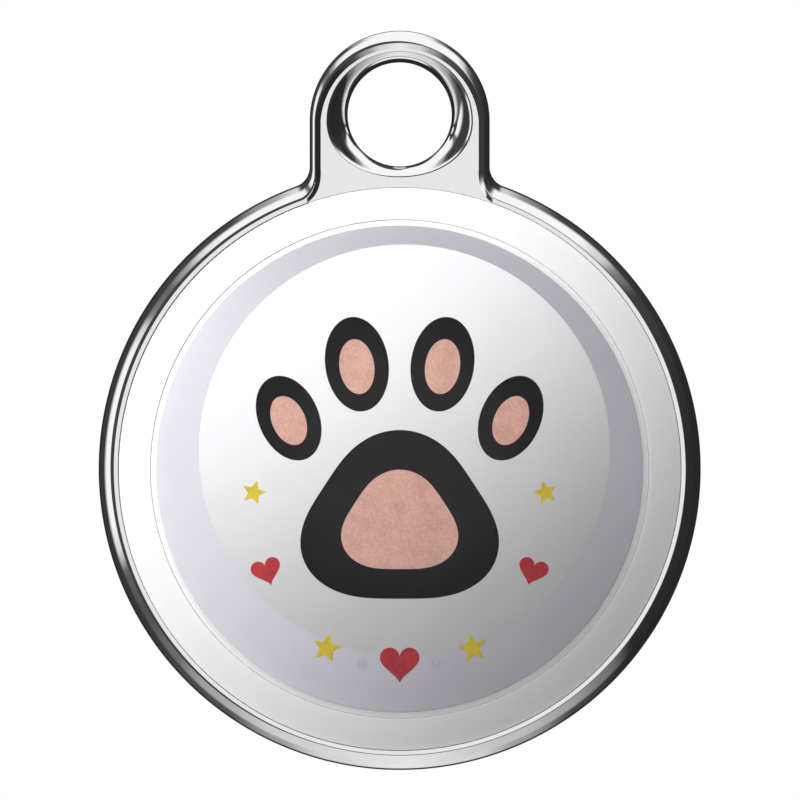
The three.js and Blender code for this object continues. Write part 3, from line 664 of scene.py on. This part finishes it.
def rim():
    rings = []
    for x, y, out_x, out_y, on_loop in frame_outline():
        on_crown = max(out_y, 0) if on_loop == 1 else 0
        section = rim_section(on_loop, on_crown)
        rings.append([(x - out_x * inset, y - out_y * inset, z) for inset, z in section])
    return lofted("bezel_casting", rings)


def loop_web():
    """Flat metal between the loop's rim, its hole and the face, out to the fillets."""
    inset = back_round + overlap
    end_radius = bore_radius - 1
    outline = [
        (x - out_x * inset, y - out_y * inset)
        for x, y, out_x, out_y, on_loop in frame_outline()
        if on_loop > 0
    ]
    for x, y in (outline[-1], outline[0]):
        reach = end_radius / math.hypot(x, y)
        outline.append((x * reach, y * reach))
    return prism("web", outline, rim_back_z, web_z)


def drum():
    profile = [(0, back_z)]
    profile += quarter(broad_round_steps, lambda s, c: (
        drum_radius - drum_back_round * (1 - s),
        back_z + drum_back_round * (1 - c),
    ))
    profile += [(drum_radius, 0), (0, 0)]
    return turned("drum", profile)


def face_bore():
    return turned("bore", [
        (0, back_z - cutter_reach),
        (rear_lip_radius, back_z - cutter_reach),
        (rear_lip_radius, rear_lip_front_z),
        (bore_radius, rear_lip_front_z),
        (bore_radius, recess_z),
        (recess_radius, recess_z),
        (recess_radius, crest_z + cutter_reach),
        (0, crest_z + cutter_reach),
    ])


def dish_reach(angle):
    """Distance from the hole's centre to the outline of the dish, found by halving."""
    low, high = hole_radius, 2 * dish_half_width
    for _ in range(dish_halvings):
        reach = (low + high) / 2
        across = abs(reach * math.cos(angle)) / dish_half_width
        up = hole_y - loop_arc_y + reach * math.sin(angle)
        height, power = (dish_top_height, 2) if up > 0 else (dish_low_height, dish_low_power)
        if across ** power + (abs(up) / height) ** power < 1:
            low = reach
        else:
            high = reach
    return reach


def hole_profile(angle):
    """Hole, neck and dish as [radius, z] points at one angle round the hole, from the back up.

    The dish falls evenly from its edge and runs flat beside the neck, which is narrower below.
    """
    downwards = -math.sin(angle)
    narrowing = smooth((downwards - neck_narrows_from) / (1 - neck_narrows_from))
    neck = mix(neck_width, neck_low_width, narrowing)
    dish_from = hole_radius + neck
    width = dish_reach(angle) - dish_from

    def slope_at(inwards):
        edge = mix(dish_edge_slope, dish_slope, smooth(inwards / dish_edge_round))
        return edge * smooth((width - inwards) / dish_flat_width)

    z = web_z - dish_edge_slope * dish_run_out / 2
    step = width / dish_steps
    dish = [(dish_from + width, z)]
    for i in range(dish_steps):
        z -= slope_at((i + 0.5) * step) * step
        dish.append((dish_from + width - (i + 1) * step, z))
    points = [(hole_radius + back_flare_width, rim_back_z - cutter_reach)]
    points += quarter(broad_round_steps, lambda s, c: (
        hole_radius + back_flare_width * (1 - s),
        rim_back_z + back_flare_depth * (1 - c),
    ))
    # Close rows at both ends of the neck keep its shading apart from the bore's and the dish's
    drop = neck * neck_slope
    points += [
        (hole_radius + neck * share, z - drop * (1 - share)) for share in neck_rows
    ]
    points += reversed(dish)
    edge_radius = dish_from + width + dish_run_out
    points.append((edge_radius, web_z + dish_edge_slope * dish_run_out / 2))
    points.append((edge_radius, crest_z + cutter_reach))
    return points


def loop_hole():
    steps = turn_steps
    columns = [hole_profile(2 * math.pi * i / steps) for i in range(steps)]
    rows = len(columns[0])
    points = []
    for row in range(rows):
        for i in range(steps):
            angle = 2 * math.pi * i / steps
            radius, z = columns[i][row]
            points.append((radius * math.cos(angle), hole_y + radius * math.sin(angle), z))
    faces = [tuple(range(steps)), tuple(range((rows - 1) * steps, rows * steps))]
    for row in range(rows - 1):
        near, far = row * steps, (row + 1) * steps
        for i in range(steps):
            j = (i + 1) % steps
            faces.append((near + i, near + j, far + j, far + i))
    return face_outwards(mesh_object("hole", points, faces))


def key_rib(width, height, low_z, high_z):
    top = -bore_radius + height
    bottom = -bore_radius - key_root
    half = width / 2
    outline = [(-half, bottom), (half, bottom), (half, top), (-half, top)]
    return prism("key", outline, low_z, high_z)


casting = joined(rim(), loop_web(), drum())
casting = cut(casting, face_bore(), loop_hole())
casting = joined(
    casting, key_rib(key_width, key_height, rear_lip_front_z - key_sink, recess_z - key_gap),
)
finished(casting, "body", chrome, ["bezel_frame"])


# Face: ring, lens, film and print

ring_width = 1.96
ring_gap = 0.01
lens_gap = 0.02
ring_inner_radius = ring_radius - ring_width
ring_visual_radius = recess_radius - ring_gap
lens_visual_radius = ring_inner_radius - lens_gap
dome_rise = lens_crown_z - ring_edge_z
dome_radius = (ring_radius ** 2 + dome_rise ** 2) / (2 * dome_rise)


def dome_z(radius):
    return lens_crown_z - dome_radius + math.sqrt(dome_radius ** 2 - radius ** 2)


def rounded_edge(radius, z, size, inwards=False):
    """Quarter round between a side wall at a radius and a top at a height."""
    if inwards:
        return quarter(edge_steps, lambda s, c: (radius + size * (1 - c), z - size * (1 - s)))
    return quarter(edge_steps, lambda s, c: (radius - size * (1 - s), z - size * (1 - c)))


def face_ring():
    """Ring with a crown that follows the dome, and a thinner skirt behind it."""
    edge = 0.1
    skirt_gap = 0.1
    skirt_wall = 0.55
    skirt_radius = bore_radius - skirt_gap
    skirt_z = -ring_high.y
    profile = [(ring_inner_radius, ring_bond_z)]
    profile += rounded_edge(ring_inner_radius, dome_z(ring_inner_radius), edge, True)
    for i in range(1, ring_crown_steps):
        share = i / ring_crown_steps
        radius = mix(ring_inner_radius + edge, ring_visual_radius - edge, share)
        profile.append((radius, dome_z(radius)))
    profile += rounded_edge(ring_visual_radius, dome_z(ring_visual_radius), edge)
    profile += [
        (ring_visual_radius, ring_bond_z),
        (skirt_radius, ring_bond_z),
        (skirt_radius, skirt_z),
        (skirt_radius - skirt_wall, skirt_z),
        (skirt_radius - skirt_wall, ring_bond_z),
    ]
    return turned("face_ring_fine", profile)


def dome_lens():
    """Clear dome over the film, with a frosted bevel and side whose white is a painted highlight round
    the lens's edge.
    """
    bevel_drop = 0.34
    bevel_inset = 0.01
    bevel_step = 0.002
    dome_inset = 0.03
    bevel_from = film_radius - 0.025
    back_margin = 0.01
    bevel_top_z = dome_z(film_radius)
    profile = [
        (0, lens_back_z),
        (lens_visual_radius, lens_back_z),
        (lens_visual_radius, bevel_top_z - bevel_drop),
        (film_radius - bevel_inset, bevel_top_z - bevel_step),
    ]
    for i in range(dome_steps):
        radius = (film_radius - dome_inset) * (1 - i / dome_steps)
        profile.append((radius, dome_z(radius)))
    profile.append((0, lens_crown_z))
    lens = turned("dome_lens_fine", profile)
    lens.data.materials.append(lens_clear)
    lens.data.materials.append(lens_edge_highlight)
    for face in lens.data.polygons:
        middle = face.center
        from_axis = math.hypot(middle.x, middle.y)
        # Faces of the bevel and side take the white of the painted highlight
        if from_axis > bevel_from and middle.z > lens_back_z + back_margin:
            face.material_index = 1
    return lens


def film_disc():
    back = -film_high.y
    edge = 0.03
    profile = [(0, back), (film_radius, back)]
    profile += rounded_edge(film_radius, film_front_z, edge)
    profile.append((0, film_front_z))
    return turned("film_disc", profile)


finished(face_ring(), "body", white_plastic, ["face_ring"])
finished(dome_lens(), "face", lens_clear, ["dome_lens"], sharp_degrees=12)
finished(film_disc(), "face", lilac_film, ["print_disc"])

# Print on the film: an offset white disc and a paw print, as thin layers of ink
ink_layer = 0.004
ink_gap = 0.001
field = 1
figures = 2
fillings = 3


def printed(name, outline, layer, material):
    """A flat shape in one layer of ink, counted from the film up."""
    low_z = film_front_z + ink_layer * (layer - 1) + ink_gap
    piece = prism(name, outline, low_z, film_front_z + ink_layer * layer)
    return finished(piece, "face", material)


def oval(x, y, half_width, half_height, turn=0.0, steps=96):
    spin = math.radians(turn)
    outline = []
    for i in range(steps):
        angle = 2 * math.pi * i / steps
        u, v = half_width * math.cos(angle), half_height * math.sin(angle)
        outline.append((
            x + u * math.cos(spin) - v * math.sin(spin),
            y + u * math.sin(spin) + v * math.cos(spin),
        ))
    return outline


def pad_shape(x, y, size, bulge=0.1, steps=180):
    """Rounded pad with three soft bulges, one of them at its top."""
    width_share = 1.08
    height_share = 0.95
    outline = []
    for i in range(steps):
        angle = 2 * math.pi * i / steps
        radius = size * (1 + bulge * math.cos(3 * (angle - math.pi / 2)))
        outline.append((
            x + width_share * radius * math.cos(angle),
            y + height_share * radius * math.sin(angle),
        ))
    return outline


def heart(x, y, size, turn=0.0, steps=96):
    """Outline by the well-known heart curve, which has these whole numbers in it."""
    spin = math.radians(turn)
    outline = []
    for i in range(steps):
        angle = 2 * math.pi * i / steps
        u = math.sin(angle) ** 3
        v = (
            13 * math.cos(angle) - 5 * math.cos(2 * angle)
            - 2 * math.cos(3 * angle) - math.cos(4 * angle)
        ) / 16
        outline.append((
            x + size * (u * math.cos(spin) - v * math.sin(spin)),
            y + size * (u * math.sin(spin) + v * math.cos(spin)),
        ))
    return outline


def star(x, y, size, turn=0.0, tips=5, inner_share=0.46):
    outline = []
    for i in range(2 * tips):
        radius = size if i % 2 == 0 else size * inner_share
        angle = math.radians(90 + turn + 180 / tips * i)
        outline.append((x + radius * math.cos(angle), y + radius * math.sin(angle)))
    return outline


white_disc_x = 0.30
white_disc_y = 1.18
white_disc_radius = 12.97
white_disc = oval(white_disc_x, white_disc_y, white_disc_radius, white_disc_radius, steps=turn_steps)
printed("white_field", white_disc, field, white_film)

paw_y = -3.4
pad_size = 5.6
pad_filling_size = 3.3
pad_filling_drop = 0.1
printed("paw_pad", pad_shape(0, paw_y, pad_size), figures, ink_black)
pad_filling = pad_shape(0, paw_y - pad_filling_drop, pad_filling_size)
printed("paw_pad_inner", pad_filling, fillings, ink_peach)

# Toes: place from the middle, half sizes and tilt in degrees
outer_toe = (7.0, 3.2, 1.9, 2.8, 24)
inner_toe = (2.7, 6.6, 2.0, 3.0, 8)
toe_filling_drop = 0.15
toe_filling_width = 0.55
toe_filling_height = 0.58
toes = [(-1, outer_toe), (-1, inner_toe), (1, inner_toe), (1, outer_toe)]
for number, (side, (x, y, half_width, half_height, tilt)) in enumerate(toes, 1):
    toe = oval(side * x, y, half_width, half_height, -side * tilt)
    toe_filling = oval(
        side * x, y - toe_filling_drop,
        half_width * toe_filling_width, half_height * toe_filling_height, -side * tilt,
    )
    printed(f"paw_toe_{number}", toe, figures, ink_black)
    printed(f"paw_toe_inner_{number}", toe_filling, fillings, ink_peach)

# Small figures: place from the middle, size and, where they are turned, degrees
middle_heart = (0, -12.2, 1.25)
side_heart = (8.4, -6.4, 0.95, -18)
low_star = (4.6, -11.3, 0.95, 12)
side_star = (9.2, -1.5, 0.8, 15)
low_dot = (2.3, -12.3, 0.35)


def on_side(side, x, y, size, turn):
    """Place, size and turn of a figure that stands on both sides of the middle."""
    return side * x, y, size, side * turn


printed("heart_middle", heart(*middle_heart), figures, ink_red)
for side in (-1, 1):
    number = side + 2
    dot_x, dot_y, dot_size = low_dot
    printed(f"heart_side_{number}", heart(*on_side(side, *side_heart)), figures, ink_red)
    printed(f"star_low_{number}", star(*on_side(side, *low_star)), figures, ink_gold)
    printed(f"dot_{number}", oval(side * dot_x, dot_y, dot_size, dot_size), figures, ink_lilac)
    printed(f"star_side_{number}", star(*on_side(side, *side_star)), figures, ink_gold)


# Back: cover, housing and screws

coin_radius = 30
coin_slot_width = 1.9
coin_slot_depth = 0.55
cover_mark_inset = 0.85
cover_mark_size = 0.3
cover_paint_size = 0.19

housing_low, housing_high = box_mm("rear_housing")
housing_radius = (housing_high.x - housing_low.x) / 2
housing_front_z = -housing_low.y
housing_back_z = -housing_high.y
housing_floor = 1.25
housing_floor_z = housing_back_z + housing_floor
housing_wall = 0.7
seat_gap = 0.05
side_gap = 0.1
cut_past = 0.1
bayonet_radius = 11.55
channel_radius = 12.4
channel_depth = 1.1
tube_radius = 13.3
tube_depth = 2.1
ledge_thickness = 0.55
ledge_back_z = cover_front_z + seat_gap
channel_front_z = ledge_back_z + channel_depth
tube_front_z = ledge_back_z + tube_depth
bayonet_angles = (30, 150, 270)
twist_angle = 30
notch_angle = 28
lug_angle = 22
stop_gap_angle = 0.5

locked_mark_angle = 90
mark_circle_radius = 14.6
mark_depth = 0.1
mark_taper = 0.1
locked_mark_size = 0.42
locked_paint_size = 0.31
open_mark_inner = 0.26
open_mark_outer = 0.44
open_mark_depth = 0.08
paint_top = 0.06
paint_foot = 0.12

screw_numbers = (1, 2, 3)
screw_radius = 0.7
screw_head_height = 0.52
screw_gap = 0.1
screw_seat_gap = 0.02
recess_depth = 0.36


def on_circle(radius, degrees):
    return radius * math.cos(math.radians(degrees)), radius * math.sin(math.radians(degrees))


def dimple(circle_radius, degrees, face_z, size):
    """Cutter for a small round mark in a face that looks back."""
    return turned("dimple", [
        (0, face_z - cut_past),
        (size + mark_taper, face_z - cut_past),
        (size - mark_taper, face_z + mark_depth),
        (0, face_z + mark_depth),
    ], mark_steps, on_circle(circle_radius, degrees))


def coin_cutter():
    """Disc on its edge, which leaves the slot for a coin."""
    half = coin_slot_width / 2
    centre_z = back_z + coin_slot_depth - coin_radius
    ring = []
    for i in range(coin_steps):
        angle = 2 * math.pi * i / coin_steps
        ring.append((coin_radius * math.cos(angle), centre_z + coin_radius * math.sin(angle)))
    points = [(x, -half, z) for x, z in ring] + [(x, half, z) for x, z in ring]
    faces = [tuple(range(coin_steps)), tuple(range(coin_steps, 2 * coin_steps))]
    for i in range(coin_steps):
        j = (i + 1) % coin_steps
        faces.append((i, j, coin_steps + j, coin_steps + i))
    return face_outwards(mesh_object("coin", points, faces))


def back_cover():
    edge = 0.3
    groove = 0.12
    groove_inset = 1.5
    groove_radius = cover_radius - groove_inset
    profile = [(0, cover_front_z), (cover_radius, cover_front_z)]
    profile += quarter(cover_edge_steps, lambda s, c: (
        cover_radius - edge * (1 - c),
        back_z + edge * (1 - s),
    ))
    profile += [
        (groove_radius + groove, back_z),
        (groove_radius, back_z + groove),
        (groove_radius - groove, back_z),
        (0, back_z),
    ]
    disc = turned("back_cover_fine", profile)
    mark = dimple(cover_radius - cover_mark_inset, locked_mark_angle, back_z, cover_mark_size)
    return cut(disc, coin_cutter(), mark)


def open_mark():
    """Cutter for the ring that marks where the cover is open."""
    low_z = housing_back_z - cut_past
    high_z = housing_back_z + open_mark_depth
    return turned("open_mark", [
        (open_mark_inner, low_z),
        (open_mark_outer, low_z),
        (open_mark_outer, high_z),
        (open_mark_inner, high_z),
    ], mark_steps, on_circle(mark_circle_radius, locked_mark_angle - twist_angle))


def bayonet_cutters():
    """Notches that let the lugs in, and the channels in which they turn to their stops."""
    inner = bayonet_radius - cut_past
    cutters = []
    for locked in bayonet_angles:
        first = locked - twist_angle - notch_angle / 2
        last = locked + lug_angle / 2 + stop_gap_angle
        notch = (first, first + notch_angle, ledge_back_z - cut_past)
        channel = (first, last, ledge_back_z + ledge_thickness)
        for from_angle, to_angle, low_z in (notch, channel):
            cutters.append(sector(inner, channel_radius, from_angle, to_angle, low_z, channel_front_z))
    return cutters


def screw_sizes(number):
    """Centre, head radius, back and tip of a housing screw."""
    low, high = box_mm(f"housing_screw_{number}")
    centre = ((low.x + high.x) / 2, (low.z + high.z) / 2 - disc_height)
    return centre, (high.x - low.x) / 2, -high.y, -low.y


def screw_seat(number):
    """Cutter for a screw's hole and the seat of its head, with a bevelled edge."""
    centre, head_radius, head_back_z, _ = screw_sizes(number)
    seat_radius = head_radius + screw_gap
    hole_radius_here = screw_radius + screw_gap
    seat_z = head_back_z + screw_head_height + screw_seat_gap
    bevel = 0.12
    return turned("screw_seat", [
        (0, housing_back_z - cut_past),
        (seat_radius + bevel + cut_past, housing_back_z - cut_past),
        (seat_radius, housing_back_z + bevel),
        (seat_radius, seat_z),
        (hole_radius_here, seat_z),
        (hole_radius_here, housing_floor_z + cut_past),
        (0, housing_floor_z + cut_past),
    ], screw_steps, centre)


def rear_housing():
    """Cup with the tube of the bayonet, its notches and channels, and the seats of the screws."""
    edge = 0.14
    outer_radius = rear_lip_radius - side_gap
    mouth_radius = cover_radius + side_gap
    cup = turned("rear_housing_fine", [
        (bayonet_radius, tube_front_z),
        (tube_radius, tube_front_z),
        (tube_radius, housing_floor_z),
        (housing_radius - housing_wall, housing_floor_z),
        (housing_radius - housing_wall, housing_front_z),
        (housing_radius, housing_front_z),
        (housing_radius, rear_lip_front_z + seat_gap),
        (outer_radius, rear_lip_front_z + seat_gap),
        *quarter(edge_steps, lambda s, c: (
            outer_radius - edge * (1 - c),
            housing_back_z + edge * (1 - s),
        )),
        *quarter(edge_steps, lambda s, c: (
            mouth_radius + edge * (1 - s),
            housing_back_z + edge * (1 - c),
        )),
        (mouth_radius, ledge_back_z),
        (bayonet_radius, ledge_back_z),
    ])
    cutters = bayonet_cutters()
    for number in screw_numbers:
        cutters.append(screw_seat(number))
    cutters.append(dimple(mark_circle_radius, locked_mark_angle, housing_back_z, locked_mark_size))
    cutters.append(open_mark())
    cutters.append(key_rib(
        key_width + 2 * key_gap, key_height + key_gap, back_z - cut_past, housing_front_z + cut_past,
    ))
    return cut(cup, *cutters)


def cross_outline(centre, degrees, arm, half):
    outline = []
    for quarter_turn in range(4):
        turn = math.radians(degrees + 90 * quarter_turn)
        for u, v in ((half, half), (arm, half), (arm, -half)):
            outline.append((
                centre[0] + u * math.cos(turn) + v * math.sin(turn),
                centre[1] + u * math.sin(turn) - v * math.cos(turn),
            ))
    return outline


def cross_recess(number):
    """Cutter that narrows towards its floor and stands at another angle in each screw."""
    first_turn = 25
    turn_step = 37
    centre, _, head_back_z, _ = screw_sizes(number)
    turn = first_turn + turn_step * number
    mouth = cross_outline(centre, turn, arm=0.7, half=0.2)
    floor = cross_outline(centre, turn, arm=0.3, half=0.07)
    return prism("cross", mouth, head_back_z - overlap, head_back_z + recess_depth, floor)


def housing_screw(number):
    """Flat-headed screw with a rounded rim and a cross recess."""
    centre, head_radius, head_back_z, tip_z = screw_sizes(number)
    bevel = 0.2
    screw = turned(f"housing_screw_fine_{number}", [
        (0, head_back_z),
        *quarter(edge_steps, lambda s, c: (
            head_radius - bevel * (1 - s),
            head_back_z + bevel * (1 - c),
        )),
        (head_radius, head_back_z + screw_head_height),
        (screw_radius, head_back_z + screw_head_height),
        (screw_radius, tip_z - bevel),
        (screw_radius - bevel, tip_z),
        (0, tip_z),
    ], screw_steps, centre)
    return cut(screw, cross_recess(number))


def paint(name, body, degrees, circle_radius, face_z, size):
    """Dot of white paint in a mark."""
    x, y = on_circle(circle_radius, degrees)
    outline = oval(x, y, size, size, steps=mark_steps)
    dot = prism(name, outline, face_z + paint_top, face_z + paint_foot)
    return finished(dot, body, mark_paint)


paint(
    "cover_mark_paint", "cover", locked_mark_angle, cover_radius - cover_mark_inset, back_z,
    cover_paint_size,
)
paint(
    "locked_mark_paint", "body", locked_mark_angle, mark_circle_radius, housing_back_z,
    locked_paint_size,
)
finished(back_cover(), "cover", cover_steel, ["back_cover"])
finished(rear_housing(), "body", grey_plastic, ["rear_housing"])
for screw_number in screw_numbers:
    finished(housing_screw(screw_number), "body", steel, [f"housing_screw_{screw_number}"])

# Stage: camera, floor, world and lamp, with lengths in metres

frame_pixels = 800
pixel_mm = 0.063133
camera_distance = 0.4
camera_near = 0.001
sensor_mm = 36
image_height = frame_pixels * pixel_mm * MM
image_x = 0.00002
image_z = -0.01799
floor_half = 0.2
floor_z = -0.06
floor_glow = 0.8
fill_light = 0.25
key_from = Vector((-0.04, -0.30, 0.04))
key_offset = 0.0172
key_at = Vector((-key_offset, 0, disc_height * MM + key_offset))
key_radius = 0.0475
key_softness = 0.005
key_power = 4.2


def make_camera():
    data = bpy.data.cameras.new("camera")
    data.sensor_width = sensor_mm
    data.lens = sensor_mm * camera_distance / image_height
    data.clip_start = camera_near
    camera = bpy.data.objects.new("camera", data)
    bpy.context.scene.collection.objects.link(camera)
    camera.location = (image_x, -camera_distance, image_z)
    camera.rotation_euler = (math.radians(90), 0, 0)
    bpy.context.scene.camera = camera


def make_floor():
    corners = [(-1, -1), (1, -1), (1, 1), (-1, 1)]
    points = [(x * floor_half, y * floor_half, floor_z) for x, y in corners]
    floor = mesh_object("floor", points, [(0, 1, 2, 3)])
    material, graph, shader = new_material("floor_paper")
    graph.tree.nodes.remove(shader)
    paper = graph.add("ShaderNodeBsdfDiffuse")
    graph.link(graph.blend(graph.noise(0.05), grey(0.8), grey(0.78)), paper.inputs["Color"])
    glow = graph.add("ShaderNodeEmission")
    graph.link(graph.math("MULTIPLY", graph.seen(), floor_glow), glow.inputs["Strength"])
    both = graph.add("ShaderNodeAddShader")
    graph.link(paper.outputs["BSDF"], both.inputs[0])
    graph.link(glow.outputs["Emission"], both.inputs[1])
    output = graph.find("OUTPUT_MATERIAL")
    graph.link(both.outputs["Shader"], output.inputs["Surface"])
    floor.data.materials.append(material)
    floor.visible_glossy = False


# What the polished metal mirrors, by the clock angle round the camera's axis in degrees,
# clockwise from the right: near the front, and out to the sides
front_tones = [
    (0, 0.025), (38, 0.025), (46, 0.2), (57, 0.4), (67, 0.56), (90, 0.82), (112, 0.68), (130, 0.4),
    (140, 0.16), (150, 0.09), (158, 0.12), (164, 0.8), (168, 1.0), (202, 1.0), (207, 0.75), (212, 0.2),
    (217, 0.14), (222, 0.35), (228, 0.85), (234, 1.0), (308, 1.0), (314, 0.7), (319, 0.2), (325, 0.05),
    (345, 0.03),
]
side_tones = [
    (0, 0.022), (38, 0.02), (54, 0.06), (66, 0.35), (76, 0.7), (90, 0.85), (104, 0.7), (114, 0.35),
    (126, 0.08), (150, 0.04), (205, 0.045), (234, 0.06), (243, 0.35), (252, 0.9), (258, 1.0), (282, 1.0),
    (289, 0.8), (296, 0.25), (303, 0.06), (326, 0.035), (345, 0.022),
]

# Angles off the camera's axis, in degrees, over which one tone passes into the next
middle_edge = (4, 7)
dark_ring_edge = (7, 12)
front_to_side = (54, 80)
side_to_dark = (112, 128)
dark_to_back = (150, 160)
middle_tone = 0.86
dark_ring_tone = 0.055
dark_tone = 0.02
back_tone = 1.0

# The dark ring around the bright middle is wider to the left
dark_ring_turn = 195
dark_ring_widening = 19


def tone_ramp(graph, tones, turn):
    node = graph.add("ShaderNodeValToRGB")
    ramp = node.color_ramp
    ramp.interpolation = "EASE"
    first, last = ramp.elements[0], ramp.elements[1]
    first.position, first.color = 0.0, grey(tones[0][1])
    last.position, last.color = 1.0, grey(tones[0][1])
    for degrees, tone in tones[1:]:
        element = ramp.elements.new(degrees / 360)
        element.color = grey(tone)
    graph.link(turn, node.inputs["Fac"])
    return node.outputs["Color"]


def make_world():
    world = bpy.data.worlds.new("studio")
    bpy.context.scene.world = world
    world.use_nodes = True
    world.node_tree.nodes.clear()
    graph = Nodes(world.node_tree)
    direction = graph.add("ShaderNodeTexCoord").outputs["Generated"]
    parts = graph.add("ShaderNodeSeparateXYZ")
    graph.link(direction, parts.inputs["Vector"])
    x, y, z = parts.outputs
    off_axis = graph.math("ARCCOSINE", graph.math("MULTIPLY", y, -1.0))
    off_axis = graph.math("MULTIPLY", off_axis, 180 / math.pi)
    turn = graph.math("ARCTAN2", graph.math("MULTIPLY", z, -1.0), x)
    turn = graph.math("FRACT", graph.math("ADD", graph.math("DIVIDE", turn, 2 * math.pi), 1.0))
    front = tone_ramp(graph, front_tones, turn)
    side = tone_ramp(graph, side_tones, turn)
    tone = graph.blend(graph.step_between(off_axis, *front_to_side), front, side)
    tone = graph.blend(graph.step_between(off_axis, *side_to_dark), tone, grey(dark_tone))
    tone = graph.blend(graph.step_between(off_axis, *dark_to_back), tone, grey(back_tone))
    past_turn = graph.math("MULTIPLY_ADD", turn, 2 * math.pi, math.radians(-dark_ring_turn))
    to_left = graph.math("MAXIMUM", graph.math("COSINE", past_turn), 0.0)
    widening = graph.math("MULTIPLY", to_left, dark_ring_widening)
    past_ring = graph.math("SUBTRACT", off_axis, widening)
    tone = graph.blend(graph.step_between(past_ring, *dark_ring_edge), grey(dark_ring_tone), tone)
    tone = graph.blend(graph.step_between(off_axis, *middle_edge), grey(middle_tone), tone)
    path = graph.add("ShaderNodeLightPath")
    lit = graph.blend(path.outputs["Is Glossy Ray"], grey(fill_light), tone)
    shown = graph.blend(graph.seen(), lit, grey(1.0))
    background = graph.add("ShaderNodeBackground")
    graph.link(shown, background.inputs["Color"])
    output = graph.add("ShaderNodeOutputWorld")
    graph.link(background.outputs["Background"], output.inputs["Surface"])


def make_key():
    data = bpy.data.lights.new("key", "SPOT")
    data.energy = key_power
    data.shadow_soft_size = key_softness
    data.spot_size = 2 * math.atan(key_radius / key_from.length)
    data.spot_blend = 1.0
    lamp = bpy.data.objects.new("key", data)
    bpy.context.scene.collection.objects.link(lamp)
    lamp.location = key_at + key_from
    lamp.rotation_euler = (-key_from).to_track_quat("-Z", "Y").to_euler()
    lamp.visible_glossy = False
    lamp.visible_camera = False


make_camera()
make_floor()
make_world()
make_key()
bpy.context.scene.view_settings.view_transform = "Standard"
